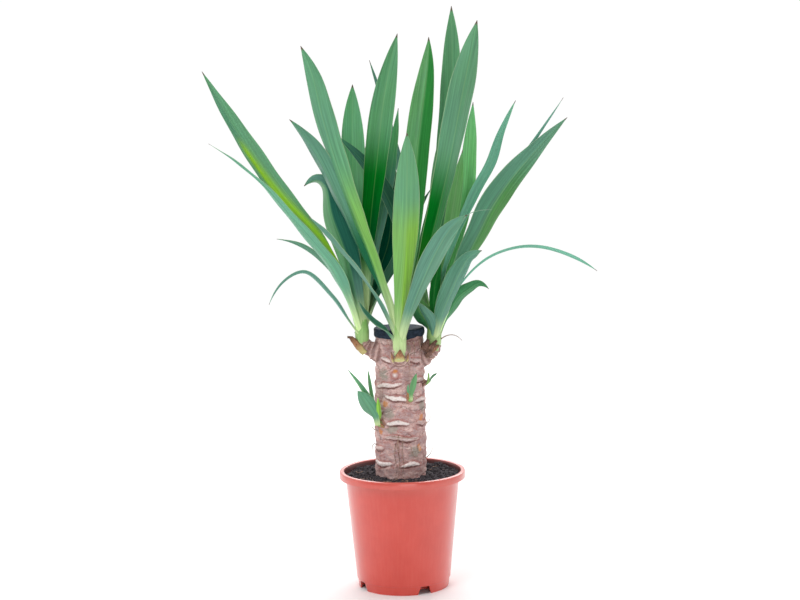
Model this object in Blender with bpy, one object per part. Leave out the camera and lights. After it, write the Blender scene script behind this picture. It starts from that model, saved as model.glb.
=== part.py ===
"""Potted yucca: a sawn cane with three leafy shoots, standing in a plastic nursery pot of soil.

The lists and sizes below are in millimetres. X runs to the right, Y away from the front, Z up, and the
origin is the middle of the pot's underside.
"""

import math

import bmesh
import bpy
import numpy as np
from mathutils import Matrix, Vector, noise

MM = 0.001
GAP = 0.3

# Pot
POT_HEIGHT = 112.0
LIP_RADIUS = 60.0
LIP_INNER_RADIUS = 55.6
LIP_DROP = 6.8
POT_WALL = 1.3
BODY_TOP_RADIUS = 54.0
BODY_TOP_Z = 102.0
BODY_FOOT_RADIUS = 44.9
FOOT_HEIGHT = 8.5
FOOT_STEP = 0.7
FOOT_BOTTOM_RADIUS = 43.2
PAD_RADIUS = 27.0
PAD_THICKNESS = 1.8
CHANNEL_Z = 3.2
POT_SIDES = 44
NOTCH_AZIMUTHS = (-63.0, 27.0, 117.0, 207.0)
NOTCH_WIDTH = 14.0
NOTCH_TOP_WIDTH = 9.0
NOTCH_HEIGHT = 7.6

# Soil
SOIL_Z = 108.0
SOIL_CRUMB = 2.2
SOIL_SIDES = 30

# Cane
CANE_X = -1.2
CANE_RADIUS = 24.2
CANE_TOP_RADIUS = 22.6
CANE_BOTTOM_Z = 26.0
CANE_TOP_Z = 247.0
CANE_SIDES = 20
CANE_RINGS = 34
SCAR_PITCH = 16.5
SCAR_SLANT = 0.22
SCAR_RELIEF = 1.5

# Wax on the sawn top
WAX_WALL = 0.9
WAX_SKIRT = 5.5
WAX_THICKNESS = 2.2

# Side branches of the cane: start on the cane, seat of the shoot, radius. The shoot stands on its seat.
BRANCHES = {
    "shoot_left": ((-12.0, -5.0, 223.0), (-36.0, -6.0, 238.0), 7.0),
    "shoot_front": ((-1.0, -14.0, 221.0), (-1.0, -33.0, 234.0), 7.0),
    "shoot_right": ((12.0, -1.0, 218.0), (31.5, -2.0, 232.0), 7.4),
}
BRANCH_RISE = 7.0
STEM_HEIGHT = 36.0
STEM_TOP_RADIUS = 2.6

# Buds of the small sprouts: azimuth round the cane, height, radius
SPROUT_BUDS = {
    "sprout_left": (222.0, 160.0, 3.8),
    "sprout_front": (-68.0, 184.0, 3.2),
    "sprout_right": (-14.0, 197.0, 2.6),
}
BUD_REACH = 25.8

# Blade section
EDGE_THICKNESS = 0.7
RIB_THICKNESS = 1.1
ROOT_THICKNESS = 2.4
ROOT_FOLD = 46.0
BLADE_FOLD = 24.0
NECK_WIDTH = 0.52
BLADE_STEPS = 10

# Each leaf: azimuth and height of its root on the stem; full width; turn of its upper face from the
# front, at the middle and at the tip, in degrees; share of the length where it is widest, and how full
# it stays towards the tip; then points that its midrib passes through, the last one being the tip.
LEAVES = {
    "shoot_left": (
        (200, 6, 24, 42, 30, 0.55, 2.0, (-40.5, -6, 262), (-61.5, -11, 315), (-110.5, -18, 378),
         (-147, -22, 436), (-179, -24, 492)),
        (222, 4, 17, 150, 120, 0.25, 1.1, (-44, -16, 267), (-59.5, -28, 306), (-95, -40, 353.5),
         (-128, -52, 393.5), (-171, -60, 427)),
        (168, 8, 12, 125, 110, 0.55, 2.3, (-51.5, -2, 286), (-78.5, 12, 316.5), (-98.5, 20, 328),
         (-117, 24, 332.5)),
        (235, 2, 5, 150, 150, 0.40, 2.3, (-47, -18, 257), (-62.5, -30, 282.5), (-87, -44, 307.5),
         (-105, -50, 301), (-120, -54, 279)),
        (255, 9, 29, 160, 140, 0.58, 2.3, (-39, -8, 268), (-47.5, -3, 313), (-61.5, 0, 356),
         (-67.5, 1, 384), (-76, 0, 390.5), (-88.5, -2, 384)),
        (60, 20, 26, -10, 10, 0.66, 2.3, (-33.5, -1, 276), (-29, 5, 332), (-22, 9, 393), (-12, 12, 467),
         (1, 16, 525)),
        (110, 16, 26, 10, 0, 0.66, 2.6, (-38.5, 9, 276), (-41, 26, 350), (-43.5, 48, 415),
         (-43, 62, 478)),
        (50, 14, 18, -35, -40, 0.55, 2.3, (-29.5, 10, 284), (-19, 28, 344.5), (-7, 42, 397.5),
         (1, 54, 455)),
        (2, 10, 13, -35, -50, 0.40, 1.8, (-22.5, 9, 276), (-4.5, 22, 307.5), (17, 33, 352.5),
         (33, 40, 380)),
        (60, 9, 26, -15, -10, 0.55, 2.3, (-28.5, 16, 280), (-10.5, 38, 329.5), (-8, 55, 375),
         (-14, 66, 425)),
        (80, 8, 22, 0, 0, 0.62, 2.3, (-39, 14, 285), (-38, 48, 350), (-30, 84, 400), (-24, 108, 432)),
        (125, 6, 21, 20, 10, 0.60, 2.3, (-44.5, 14, 275), (-54.5, 42, 325), (-53, 72, 380),
         (-46, 100, 430)),
        (145, 4, 19, 45, 30, 0.55, 2.3, (-44, 13, 262), (-51, 42, 299), (-53, 75, 327),
         (-52, 103, 338)),
    ),
    "shoot_front": (
        (270, 6, 27, 180, 180, 0.56, 2.6, (0, -38, 266), (4, -53, 318), (7, -78, 370), (8, -98, 407),
         (8, -112, 436)),
        (215, 12, 23, 145, 175, 0.66, 3.0, (-7.5, -33, 268), (-23, -30, 313.5), (-46.5, -27, 378),
         (-68.5, -24, 450.5), (-76.5, -23, 484), (-88, -22, 514)),
        (168, 10, 24, 130, 150, 0.62, 2.3, (-10, -26, 274), (-32, -21, 319), (-54, -19, 372.5),
         (-75, -18, 416), (-100, -18, 447)),
        (238, 4, 12, 95, 130, 0.66, 2.3, (-12.5, -38, 265), (-30.5, -50, 298.5), (-55.5, -63, 332),
         (-81, -74, 361)),
        (85, 20, 26, -5, -10, 0.62, 2.6, (2, -29, 278), (11, -18, 333), (18, -8, 417), (29, -5, 500),
         (30, -4, 521)),
        (50, 16, 22, -20, -10, 0.70, 2.6, (9.5, -22, 282), (25, -3, 331.5), (40.5, 8, 387.5),
         (49.5, 16, 453), (52, 20, 550)),
        (320, 14, 28, 205, 185, 0.73, 2.3, (12, -32, 278.5), (26, -33, 326.5), (42, -34, 389.5),
         (56.5, -31, 457.5), (74, -28, 535)),
        (292, 4, 22, 190, 180, 0.60, 2.3, (7.5, -43, 266), (17, -55, 291.5), (31.5, -77, 325.5),
         (46, -96, 350), (60, -110, 363)),
        (205, 2, 11, 70, 60, 0.50, 2.3, (-13, -37, 251), (-24.5, -40, 260), (-34, -43, 271),
         (-38, -45, 280)),
        (80, 9, 22, 0, 0, 0.62, 2.3, (4, -10, 300), (11, 6, 350), (18, 42, 415), (23, 82, 470)),
    ),
    "shoot_right": (
        (20, 14, 12, -30, -20, 0.68, 1.8, (36.5, 2, 274), (50, 6, 326), (71.5, 10, 373), (88, 14, 402.5),
         (99, 18, 433.5), (112, 22, 461)),
        (338, 8, 28.5, 200, 190, 0.60, 1.5, (40, -4, 267.5), (61.5, -9, 315), (75, -11, 340.5),
         (85.5, -13, 361.5), (103.5, -17, 388), (136, -22, 425), (156.5, -24, 445.5)),
        (55, 18, 19, -30, -20, 0.62, 2.3, (36.5, 5, 272), (51.5, 16, 319.5), (64, 22, 366.5),
         (69, 28, 419), (72, 30, 460)),
        (120, 18, 15, 10, 0, 0.62, 2.3, (32.5, 3, 272), (43.5, 7, 321), (52.5, 10, 368), (61, 14, 415)),
        (285, 4, 23, 190, 160, 0.50, 2.6, (39, -17, 265), (47.5, -29, 286.5), (56, -42, 306),
         (64.5, -54, 320.5), (75, -62, 327)),
        (352, 3, 18, 208, 198, 0.50, 1.6, (44, -8, 261), (54, -14, 279), (65, -17, 287.5),
         (74, -19, 292), (83, -21, 287)),
        (320, 2, 3.6, 200, 180, 0.85, 2.0, (44, -11, 262), (54.5, -18, 288), (79.5, -28, 315),
         (105, -34, 326), (130, -40, 327.5), (158.5, -46, 319), (181, -50, 305.5)),
        (232, 2, 13, 150, 150, 0.45, 2.3, (29, -13, 256), (23, -16, 266), (15.5, -18, 276)),
        (255, 6, 11, 170, 170, 0.50, 2.3, (32, -8, 264), (32.5, -6, 283), (35.5, -4, 300),
         (39, -2, 316)),
        (140, 12, 11, 40, 30, 0.60, 2.3, (26, 16, 270), (14, 50, 328), (-3, 80, 413), (-27, 98, 501.5)),
        (125, 8, 18, 30, 20, 0.60, 2.3, (23.5, 7, 268), (7.5, 16, 321.5), (-13.5, 24, 378),
         (-57, 30, 429)),
        (95, 9, 22, 5, 0, 0.62, 2.3, (34, 14, 285), (37.5, 48, 345), (43, 82, 400), (48, 110, 440)),
        (45, 7, 21, -40, -30, 0.60, 2.3, (42.5, 12, 272), (64.5, 40, 314), (85.5, 68, 351),
         (103, 92, 380)),
        (70, 5, 19, -20, -20, 0.55, 2.3, (40.5, 14, 264), (53, 42, 293.5), (63.5, 70, 311.5),
         (72, 92, 318)),
        (330, 7, 6, 200, 190, 0.60, 1.6, (39, 1, 268), (56, -3, 316), (80, -7, 360), (115, -13, 407.5),
         (136.5, -16, 438.5), (153.5, -17, 463.5)),
        (200, 4, 18, 150, 160, 0.50, 2.3, (27, -3, 253), (19.5, -2, 268), (14, -1, 288)),
    ),
    "sprout_left": (
        (215, 1, 17, 165, 165, 0.55, 2.3, (-25, -22, 167), (-32, -24, 180), (-41, -25, 193)),
        (190, 2, 8, 140, 130, 0.50, 2.3, (-27, -20, 177), (-37, -19, 194), (-50, -18, 212)),
        (150, 3, 6.5, 60, 40, 0.50, 2.3, (-27, -16, 177), (-29.5, -15, 194), (-31, -15, 211)),
        (270, 2, 5, 180, 180, 0.45, 2.3, (-21, -23, 168), (-21.5, -25, 176), (-22, -26, 187)),
    ),
    "sprout_front": (
        (270, 1, 6.5, 170, 170, 0.50, 2.3, (9.5, -28, 190), (11.5, -30, 200), (14.5, -31, 210)),
        (170, 1, 4, 130, 140, 0.45, 2.3, (7, -26, 189), (6, -27, 193), (7, -27.5, 199)),
    ),
    "sprout_right": (
        (350, 1, 4, 230, 210, 0.50, 2.3, (28, -7, 200), (31, -8, 203.5), (34, -9, 206)),
        (60, 1, 3, 300, 300, 0.50, 2.3, (26, -4, 200), (26.5, -3, 203), (26.5, -3, 206)),
    ),
}

# Dry leaf bases left on the cane: root, tip, width
BRACTS = (
    ((-31.0, -9.0, 225.0), (-48.5, -10.0, 243.0), 9.0),
    ((-1.0, -30.0, 219.0), (-1.0, -44.5, 235.0), 13.0),
    ((26.0, -7.0, 220.0), (40.0, -11.0, 236.0), 9.0),
)

COLOURS = {
    "pot": ((0.62, 0.115, 0.075), 0.42),
    "soil": ((0.018, 0.011, 0.008), 0.95),
    "cane": ((0.36, 0.25, 0.21), 0.85),
    "wax_seal": ((0.03, 0.035, 0.05), 0.5),
    "shoot_left": ((0.06, 0.24, 0.11), 0.45),
    "shoot_front": ((0.10, 0.30, 0.10), 0.45),
    "shoot_right": ((0.06, 0.23, 0.13), 0.45),
    "sprout_left": ((0.08, 0.30, 0.10), 0.45),
    "sprout_front": ((0.10, 0.34, 0.10), 0.45),
    "sprout_right": ((0.12, 0.34, 0.10), 0.45),
}


def make_material(name):
    colour, roughness = COLOURS[name]
    material = bpy.data.materials.new(name)
    material.use_nodes = True
    shader = material.node_tree.nodes["Principled BSDF"]
    shader.inputs["Base Color"].default_value = (*colour, 1.0)
    shader.inputs["Roughness"].default_value = roughness
    return material


def make_object(name, points, faces):
    """An object from points in millimetres, with its faces turned outwards."""
    mesh = bpy.data.meshes.new(name)
    mesh.from_pydata([tuple(MM * c for c in p) for p in points], [], faces)
    shape = bmesh.new()
    shape.from_mesh(mesh)
    bmesh.ops.recalc_face_normals(shape, faces=shape.faces)
    shape.to_mesh(mesh)
    shape.free()
    obj = bpy.data.objects.new(name, mesh)
    bpy.context.scene.collection.objects.link(obj)
    return obj


def finish_object(obj, name, sharp_angle):
    obj.name = name
    obj.data.materials.clear()
    obj.data.materials.append(make_material(name))
    obj.data.shade_smooth()
    obj.data.set_sharp_from_angle(angle=math.radians(sharp_angle))


def apply_modifiers(obj):
    """Replaces the object's mesh by what its modifiers make of it."""
    graph = bpy.context.evaluated_depsgraph_get()
    mesh = bpy.data.meshes.new_from_object(obj.evaluated_get(graph))
    obj.modifiers.clear()
    obj.data = mesh


def union(base, others, solver):
    """Joins the other objects to base with one Boolean on a collection, then removes them."""
    collection = bpy.data.collections.new("union_of_" + base.name)
    bpy.context.scene.collection.children.link(collection)
    for obj in others:
        bpy.context.scene.collection.objects.unlink(obj)
        collection.objects.link(obj)
    modifier = base.modifiers.new("union", "BOOLEAN")
    modifier.operation = "UNION"
    modifier.operand_type = "COLLECTION"
    modifier.collection = collection
    modifier.solver = solver
    apply_modifiers(base)
    for obj in others:
        bpy.data.objects.remove(obj)
    bpy.data.collections.remove(collection)


def keep_body(obj):
    """Fills hollows that fusing sealed and drops loose scraps: only the largest connected shell stays."""
    shape = bmesh.new()
    shape.from_mesh(obj.data)
    left = set(shape.verts)
    shells = []
    while left:
        shell, front = set(), [left.pop()]
        while front:
            vertex = front.pop()
            shell.add(vertex)
            near = {edge.other_vert(vertex) for edge in vertex.link_edges} & left
            left -= near
            front += near
        shells.append(shell)
    shells.sort(key=len)
    bmesh.ops.delete(shape, geom=[v for shell in shells[:-1] for v in shell], context="VERTS")
    shape.to_mesh(obj.data)
    shape.free()


def cut(base, cutter):
    modifier = base.modifiers.new("cut", "BOOLEAN")
    modifier.operation = "DIFFERENCE"
    modifier.object = cutter
    apply_modifiers(base)
    bpy.data.objects.remove(cutter)


def turned(name, profile, sides):
    """A closed profile of (radius, height) points turned about Z. Points on the axis are shared."""
    points = []
    index = {}
    for i in range(sides):
        angle = 2 * math.pi * i / sides
        for j, (r, z) in enumerate(profile):
            if r == 0 and i > 0:
                index[i, j] = index[0, j]
                continue
            index[i, j] = len(points)
            points.append((r * math.cos(angle), r * math.sin(angle), z))
    faces = []
    for i in range(sides):
        for j in range(len(profile)):
            k, there = (j + 1) % len(profile), (i + 1) % sides
            corners = dict.fromkeys((index[i, j], index[i, k], index[there, k], index[there, j]))
            if len(corners) > 2:
                faces.append(tuple(corners))
    return make_object(name, points, faces)


def ring_tube(name, rings):
    """A closed tube through rings of points of equal count, capped at both ends."""
    sides = len(rings[0])
    points = [p for ring in rings for p in ring]
    faces = [tuple(range(sides))[::-1]]
    for i in range(len(rings) - 1):
        for j in range(sides):
            k = (j + 1) % sides
            a, b = i * sides, (i + 1) * sides
            faces.append((a + j, a + k, b + k, b + j))
    faces.append(tuple(range(len(points) - sides, len(points))))
    return make_object(name, points, faces)


def smooth_path(points, steps):
    """Evenly spaced points along a smooth curve through the given ones."""
    points = np.array(points, float)
    gaps = np.sqrt(np.linalg.norm(np.diff(points, axis=0), axis=1))
    slopes = np.diff(points, axis=0) / gaps[:, None]
    inner = (slopes[:-1] * gaps[1:, None] + slopes[1:] * gaps[:-1, None]) / (gaps[:-1] + gaps[1:])[:, None]
    ends = np.vstack([2 * slopes[0] - inner[0], inner, 2 * slopes[-1] - inner[-1]])
    dense = []
    for i, gap in enumerate(gaps):
        for t in np.linspace(0, 1, 24, endpoint=False):
            start, stop = 2 * t**3 - 3 * t**2 + 1, 3 * t**2 - 2 * t**3
            leave, arrive = t**3 - 2 * t**2 + t, t**3 - t**2
            dense.append(
                start * points[i] + stop * points[i + 1] + gap * (leave * ends[i] + arrive * ends[i + 1])
            )
    dense.append(points[-1])
    dense = np.array(dense)
    travelled = np.concatenate([[0], np.cumsum(np.linalg.norm(np.diff(dense, axis=0), axis=1))])
    wanted = np.linspace(0, travelled[-1], steps + 1)
    return np.column_stack([np.interp(wanted, travelled, dense[:, i]) for i in range(3)])


def ease(t):
    t = min(max(t, 0.0), 1.0)
    return t * t * (3 - 2 * t)


def blade_outline(t, widest, fullness):
    """Half width at the share t of a leaf's length, as a part of its largest half width."""
    neck_end = min(0.12, widest / 2)
    if t < widest:
        return NECK_WIDTH + (1 - NECK_WIDTH) * ease((t - neck_end) / (widest - neck_end))
    return max(1 - ((t - widest) / (1 - widest)) ** fullness, 0.0)


def blade_fold(t):
    """Angle of the blade's two halves from flat, in degrees: the base clasps the stem."""
    return BLADE_FOLD + (ROOT_FOLD - BLADE_FOLD) * (1 - ease(t / 0.3))


def blade_rings(root, azimuth, leaf):
    """Six-sided sections along a leaf: left edge, rib and right edge, on both faces."""
    _, _, width, turn_middle, turn_tip, widest, fullness, *midrib = leaf
    path = smooth_path([root, *midrib], BLADE_STEPS)
    tangents = np.gradient(path, axis=0)
    turn_root = azimuth - 90
    rings = []
    for i, (centre, tangent) in enumerate(zip(path, tangents)):
        t = i / BLADE_STEPS
        tangent = Vector(tangent).normalized()
        front = Vector((0, -1, 0))
        normal = (front - tangent * front.dot(tangent)).normalized()
        turn = turn_root + (turn_middle - turn_root) * ease(t / 0.5)
        turn += (turn_tip - turn_middle) * ease(2 * t - 1)
        normal = Matrix.Rotation(math.radians(turn), 3, tangent) @ normal
        side = normal.cross(tangent) * -1
        half = max(width / 2 * blade_outline(t, widest, fullness), 0.45)
        fold = math.radians(blade_fold(t))
        rib = EDGE_THICKNESS + (RIB_THICKNESS - EDGE_THICKNESS) * (1 - t)
        rib += (ROOT_THICKNESS - RIB_THICKNESS) * (1 - ease(t / 0.35))
        out = side * half * math.cos(fold)
        lift = normal * half * math.sin(fold)
        keel = Vector(centre) - lift / 2
        upper = [(-out + lift, EDGE_THICKNESS), (Vector(), rib), (out + lift, EDGE_THICKNESS)]
        ring = [keel + place + normal * thick / 2 for place, thick in upper]
        ring += [keel + place - normal * thick / 2 for place, thick in reversed(upper)]
        rings.append(ring)
    return rings


def leaf_object(name, rings):
    """A closed blade, split into triangles alike on both faces."""
    points = [p for ring in rings for p in ring]
    faces = [(0, 5, 1), (1, 5, 4), (1, 4, 2), (2, 4, 3)]
    for i in range(len(rings) - 1):
        a, b = 6 * i, 6 * (i + 1)
        # upper face, left half then right half
        faces += [(a, a + 1, b + 1), (a, b + 1, b)]
        faces += [(a + 1, a + 2, b + 1), (a + 2, b + 2, b + 1)]
        # right edge
        faces += [(a + 2, a + 3, b + 3), (a + 2, b + 3, b + 2)]
        # lower face, right half then left half
        faces += [(a + 3, a + 4, b + 4), (a + 3, b + 4, b + 3)]
        faces += [(a + 4, a + 5, b + 4), (a + 5, b + 5, b + 4)]
        # left edge
        faces += [(a + 5, a, b), (a + 5, b, b + 5)]
    end = 6 * (len(rings) - 1)
    faces += [(end, end + 1, end + 5), (end + 1, end + 4, end + 5)]
    faces += [(end + 1, end + 2, end + 4), (end + 2, end + 3, end + 4)]
    return make_object(name, points, faces)


def round_ring(centre, axis, radius, sides, across=None):
    """Points round a centre, in the plane across the axis."""
    axis = Vector(axis).normalized()
    across = (across or axis.orthogonal()).normalized()
    other = axis.cross(across)
    angles = [2 * math.pi * i / sides for i in range(sides)]
    return [Vector(centre) + radius * (math.cos(a) * across + math.sin(a) * other) for a in angles]


def shoot_stem(name):
    """The leafy stem's own body: a tapering bud that stands on its seat. Gives the object and its axis."""
    if name in BRANCHES:
        _, seat, radius = BRANCHES[name]
        base = Vector(seat) + Vector((0, 0, GAP))
        axis, height, top = Vector((0, 0, 1)), STEM_HEIGHT, STEM_TOP_RADIUS
    else:
        azimuth, z, radius = SPROUT_BUDS[name]
        angle = math.radians(azimuth)
        axis = Vector((math.cos(angle), math.sin(angle), 0))
        base = axis * (BUD_REACH + GAP) + Vector((CANE_X, 0, z))
        height, top = 1.6 * radius, 0.6 * radius
    stations = ((0.0, 0.8), (0.12, 0.86), (0.35, 0.72), (0.7, 0.45), (1.0, top / radius))
    rings = [round_ring(base + axis * height * share, axis, radius * size, 10) for share, size in stations]
    return ring_tube(name, rings), base, axis, radius


def make_shoot(name):
    stem, base, axis, radius = shoot_stem(name)
    blades = []
    for number, leaf in enumerate(LEAVES[name]):
        azimuth, rise = leaf[0], leaf[1]
        angle = math.radians(azimuth)
        outward = Vector((math.cos(angle), math.sin(angle), 0))
        root = base + axis * (rise + 1.5) + outward * radius * (0.32 if name in BRANCHES else 0.1)
        blades.append(leaf_object(f"{name}_leaf_{number}", blade_rings(root, azimuth, leaf)))
    union(stem, blades, "MANIFOLD")
    keep_body(stem)
    finish_object(stem, name, 50)


def pot_profile():
    """Outer side down, underside inwards, floor outwards and inner side up."""
    lip_bottom = POT_HEIGHT - LIP_DROP
    under = POT_HEIGHT - POT_WALL
    floor = CHANNEL_Z + POT_WALL
    skirt = FOOT_BOTTOM_RADIUS - POT_WALL
    return [
        (LIP_INNER_RADIUS + 1.2, POT_HEIGHT),
        (LIP_RADIUS - 1.4, POT_HEIGHT),
        (LIP_RADIUS - 0.4, POT_HEIGHT - 0.5),
        (LIP_RADIUS, POT_HEIGHT - 1.6),
        (LIP_RADIUS, lip_bottom),
        (LIP_RADIUS - POT_WALL, lip_bottom),
        (LIP_RADIUS - POT_WALL, under - 0.8),
        (LIP_INNER_RADIUS + POT_WALL, under - 0.8),
        (BODY_TOP_RADIUS, BODY_TOP_Z),
        (BODY_FOOT_RADIUS, FOOT_HEIGHT),
        (BODY_FOOT_RADIUS - FOOT_STEP, FOOT_HEIGHT - 0.5),
        (FOOT_BOTTOM_RADIUS, 0.0),
        (skirt, 0.0),
        (skirt, CHANNEL_Z),
        (PAD_RADIUS + 3.0, CHANNEL_Z),
        (PAD_RADIUS, 0.0),
        (0.0, 0.0),
        (0.0, PAD_THICKNESS),
        (PAD_RADIUS - 1.0, PAD_THICKNESS),
        (PAD_RADIUS + 2.2, floor),
        (skirt - 0.6, floor),
        (BODY_FOOT_RADIUS - FOOT_STEP - POT_WALL, FOOT_HEIGHT),
        (BODY_TOP_RADIUS - POT_WALL, BODY_TOP_Z),
        (LIP_INNER_RADIUS, under - 1.0),
        (LIP_INNER_RADIUS + 0.3, POT_HEIGHT - 0.5),
    ]


def notch_cutter(azimuth):
    """A drain notch's outline, narrower at its top, pushed through the foot and the channel behind it."""
    half, top = NOTCH_WIDTH / 2, NOTCH_TOP_WIDTH / 2
    outline = ((-half, -1.0), (half, -1.0), (half, 0.0))
    outline += ((top, NOTCH_HEIGHT), (-top, NOTCH_HEIGHT), (-half, 0.0))
    angle = math.radians(azimuth)
    outward, across = (math.cos(angle), math.sin(angle)), (-math.sin(angle), math.cos(angle))
    rings = []
    for reach in (PAD_RADIUS + 9.0, LIP_RADIUS):
        rings.append(
            [(outward[0] * reach + across[0] * s, outward[1] * reach + across[1] * s, z) for s, z in outline]
        )
    cutter = ring_tube("notch", rings)
    cutter.hide_render = True
    cutter.display_type = "WIRE"
    return cutter


def make_pot():
    pot = turned("pot", pot_profile(), POT_SIDES)
    for azimuth in NOTCH_AZIMUTHS:
        cut(pot, notch_cutter(azimuth))
    finish_object(pot, "pot", 35)


def inner_radius(z):
    """Radius of the pot's inner wall at a height."""
    low = BODY_FOOT_RADIUS - FOOT_STEP - POT_WALL
    share = (z - FOOT_HEIGHT) / (BODY_TOP_Z - FOOT_HEIGHT)
    return low + (BODY_TOP_RADIUS - POT_WALL - low) * share


def soil_top(x, y):
    """Height of the crumbly surface, plain where it meets the cane and the pot."""
    room = ease((math.hypot(x - CANE_X, y) - CANE_RADIUS - 1.5) / 6)
    room *= ease((inner_radius(SOIL_Z) - math.hypot(x, y)) / 5)
    crumbs = noise.noise(Vector((x / 7, y / 7, 3.1))) + 0.5 * noise.noise(Vector((x / 3, y / 3, 8.4)))
    return SOIL_Z + SOIL_CRUMB * crumbs * room


def make_soil():
    """Fills the pot round the cane, which stands in a plain hole."""
    hole = CANE_RADIUS + GAP
    wall = inner_radius(SOIL_Z) - GAP
    floor = CHANNEL_Z + POT_WALL + GAP
    top_radii = [wall + (hole - wall) * i / 5 for i in range(6)]
    profile = [(r, SOIL_Z) for r in reversed(top_radii)]
    profile += [(inner_radius(FOOT_HEIGHT + 2) - GAP, FOOT_HEIGHT + 2), (BODY_FOOT_RADIUS - 5.0, floor)]
    profile += [(0.0, floor), (0.0, CANE_BOTTOM_Z - GAP), (hole, CANE_BOTTOM_Z - GAP)]
    soil = turned("soil", profile, SOIL_SIDES)
    for vertex in soil.data.vertices:
        if abs(math.hypot(vertex.co.x, vertex.co.y) - hole * MM) < 1e-6:
            vertex.co.x += CANE_X * MM
        if abs(vertex.co.z - SOIL_Z * MM) < 1e-6:
            vertex.co.z = soil_top(vertex.co.x / MM, vertex.co.y / MM) * MM
    finish_object(soil, "soil", 60)


def cane_radius(angle, z):
    """The cane's radius: slanting leaf scars that lap round it, faded out at the soil and under the wax."""
    plain = CANE_RADIUS + (CANE_TOP_RADIUS - CANE_RADIUS) * ease((z - 150) / (CANE_TOP_Z - 150))
    fade = ease((z - SOIL_Z - 2) / 8) * ease((CANE_TOP_Z - WAX_SKIRT - 2 - z) / 6)
    turn = angle / (2 * math.pi)
    phase = z / SCAR_PITCH + SCAR_SLANT * math.sin(2 * angle + 0.35 * z / SCAR_PITCH)
    phase += 0.5 * math.sin(angle + 1)
    saw = phase - math.floor(phase)
    lip = math.exp(-((saw - 0.5) / 0.17) ** 2)
    uneven = noise.noise(Vector((3 * math.cos(angle), 3 * math.sin(angle), z / 18 + turn)))
    return plain + fade * (SCAR_RELIEF * (lip - 0.45) + 0.9 * uneven)


def branch_tube(name, start, seat, radius):
    """A short branch that leaves the cane sideways and turns up to a flat seat."""
    start, seat = Vector(start), Vector(seat)
    knee = Vector((seat.x, seat.y, seat.z - BRANCH_RISE))
    hinge = (knee - start).cross(seat - knee)
    rings = []
    for t in (0.0, 0.25, 0.5, 0.75, 1.0):
        centre = start.lerp(knee, t).lerp(knee.lerp(seat, t), t)
        direction = (knee - start).lerp(seat - knee, t)
        rings.append(round_ring(centre, direction, radius * (1.05 - 0.1 * t), 12, hinge))
    return ring_tube(name, rings)


def bract(name, root, tip, width):
    """A dry leaf base: a pointed scale that stands off the cane."""
    root, tip = Vector(root), Vector(tip)
    outward = Vector((tip.x, tip.y, 0)).normalized()
    along = (tip - root).normalized()
    across = along.cross(outward).normalized()
    face = across.cross(along).normalized()
    rings = []
    for t, size in ((0.0, 1.0), (0.35, 0.95), (0.7, 0.6), (1.0, 0.1)):
        centre = root.lerp(tip, t)
        half = width / 2 * size
        curl = face * -0.3 * half
        ring = [centre - across * half + curl, centre - face * 0.7, centre + across * half + curl]
        ring += [p + face * 1.3 for p in reversed(ring)]
        rings.append(ring)
    return ring_tube(name, rings)


def bud_boss(name, azimuth, z, radius):
    """A small round boss on the cane, on which a sprout sits."""
    angle = math.radians(azimuth)
    axis = Vector((math.cos(angle), math.sin(angle), 0))
    up = Vector((CANE_X, 0, z))
    stations = ((14.0, 1.1), (CANE_RADIUS, 1.1), (BUD_REACH, 0.9))
    rings = [round_ring(axis * reach + up, axis, radius * size, 10) for reach, size in stations]
    return ring_tube(name, rings)


def make_cane():
    rings = []
    heights = [CANE_BOTTOM_Z, SOIL_Z - 1]
    step = (CANE_TOP_Z - SOIL_Z - 2) / CANE_RINGS
    heights += [SOIL_Z + 2 + step * i for i in range(CANE_RINGS + 1)]
    for z in heights:
        angles = [2 * math.pi * i / CANE_SIDES for i in range(CANE_SIDES)]
        radii = [cane_radius(a, z) if z > SOIL_Z else CANE_RADIUS for a in angles]
        rings.append([(CANE_X + r * math.cos(a), r * math.sin(a), z) for r, a in zip(radii, angles)])
    cane = ring_tube("cane", rings)
    grown = [branch_tube("branch", *branch) for branch in BRANCHES.values()]
    grown += [bud_boss("boss", *bud) for bud in SPROUT_BUDS.values()]
    grown += [bract("bract", *size) for size in BRACTS]
    union(cane, grown, "EXACT")
    keep_body(cane)
    finish_object(cane, "cane", 45)


def make_wax():
    """A dipped cap over the sawn top of the cane."""
    inner = CANE_TOP_RADIUS + GAP + 0.2
    outer = inner + WAX_WALL
    under = CANE_TOP_Z + GAP
    top = under + WAX_THICKNESS
    profile = [
        (0.0, top - 0.9),
        (outer - 6.0, top - 0.6),
        (outer - 1.4, top),
        (outer, top - 1.0),
        (outer, CANE_TOP_Z - WAX_SKIRT),
        (inner, CANE_TOP_Z - WAX_SKIRT),
        (inner, under),
        (0.0, under),
    ]
    wax = turned("wax_seal", profile, 28)
    wax.location.x = CANE_X * MM
    finish_object(wax, "wax_seal", 40)


def main():
    for obj in list(bpy.data.objects):
        bpy.data.objects.remove(obj)
    make_pot()
    make_soil()
    make_cane()
    make_wax()
    for name in LEAVES:
        make_shoot(name)


main()
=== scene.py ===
"""Looks of the potted yucca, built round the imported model.

Lists and sizes are in millimetres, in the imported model's own frame: X runs to the right, Y away from the
front, Z up, and the origin is the middle of the pot's underside. Meshes are scaled to metres when made.
"""

import math

import bmesh
import bpy
import numpy as np
from mathutils import Matrix, Vector, noise


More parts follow.
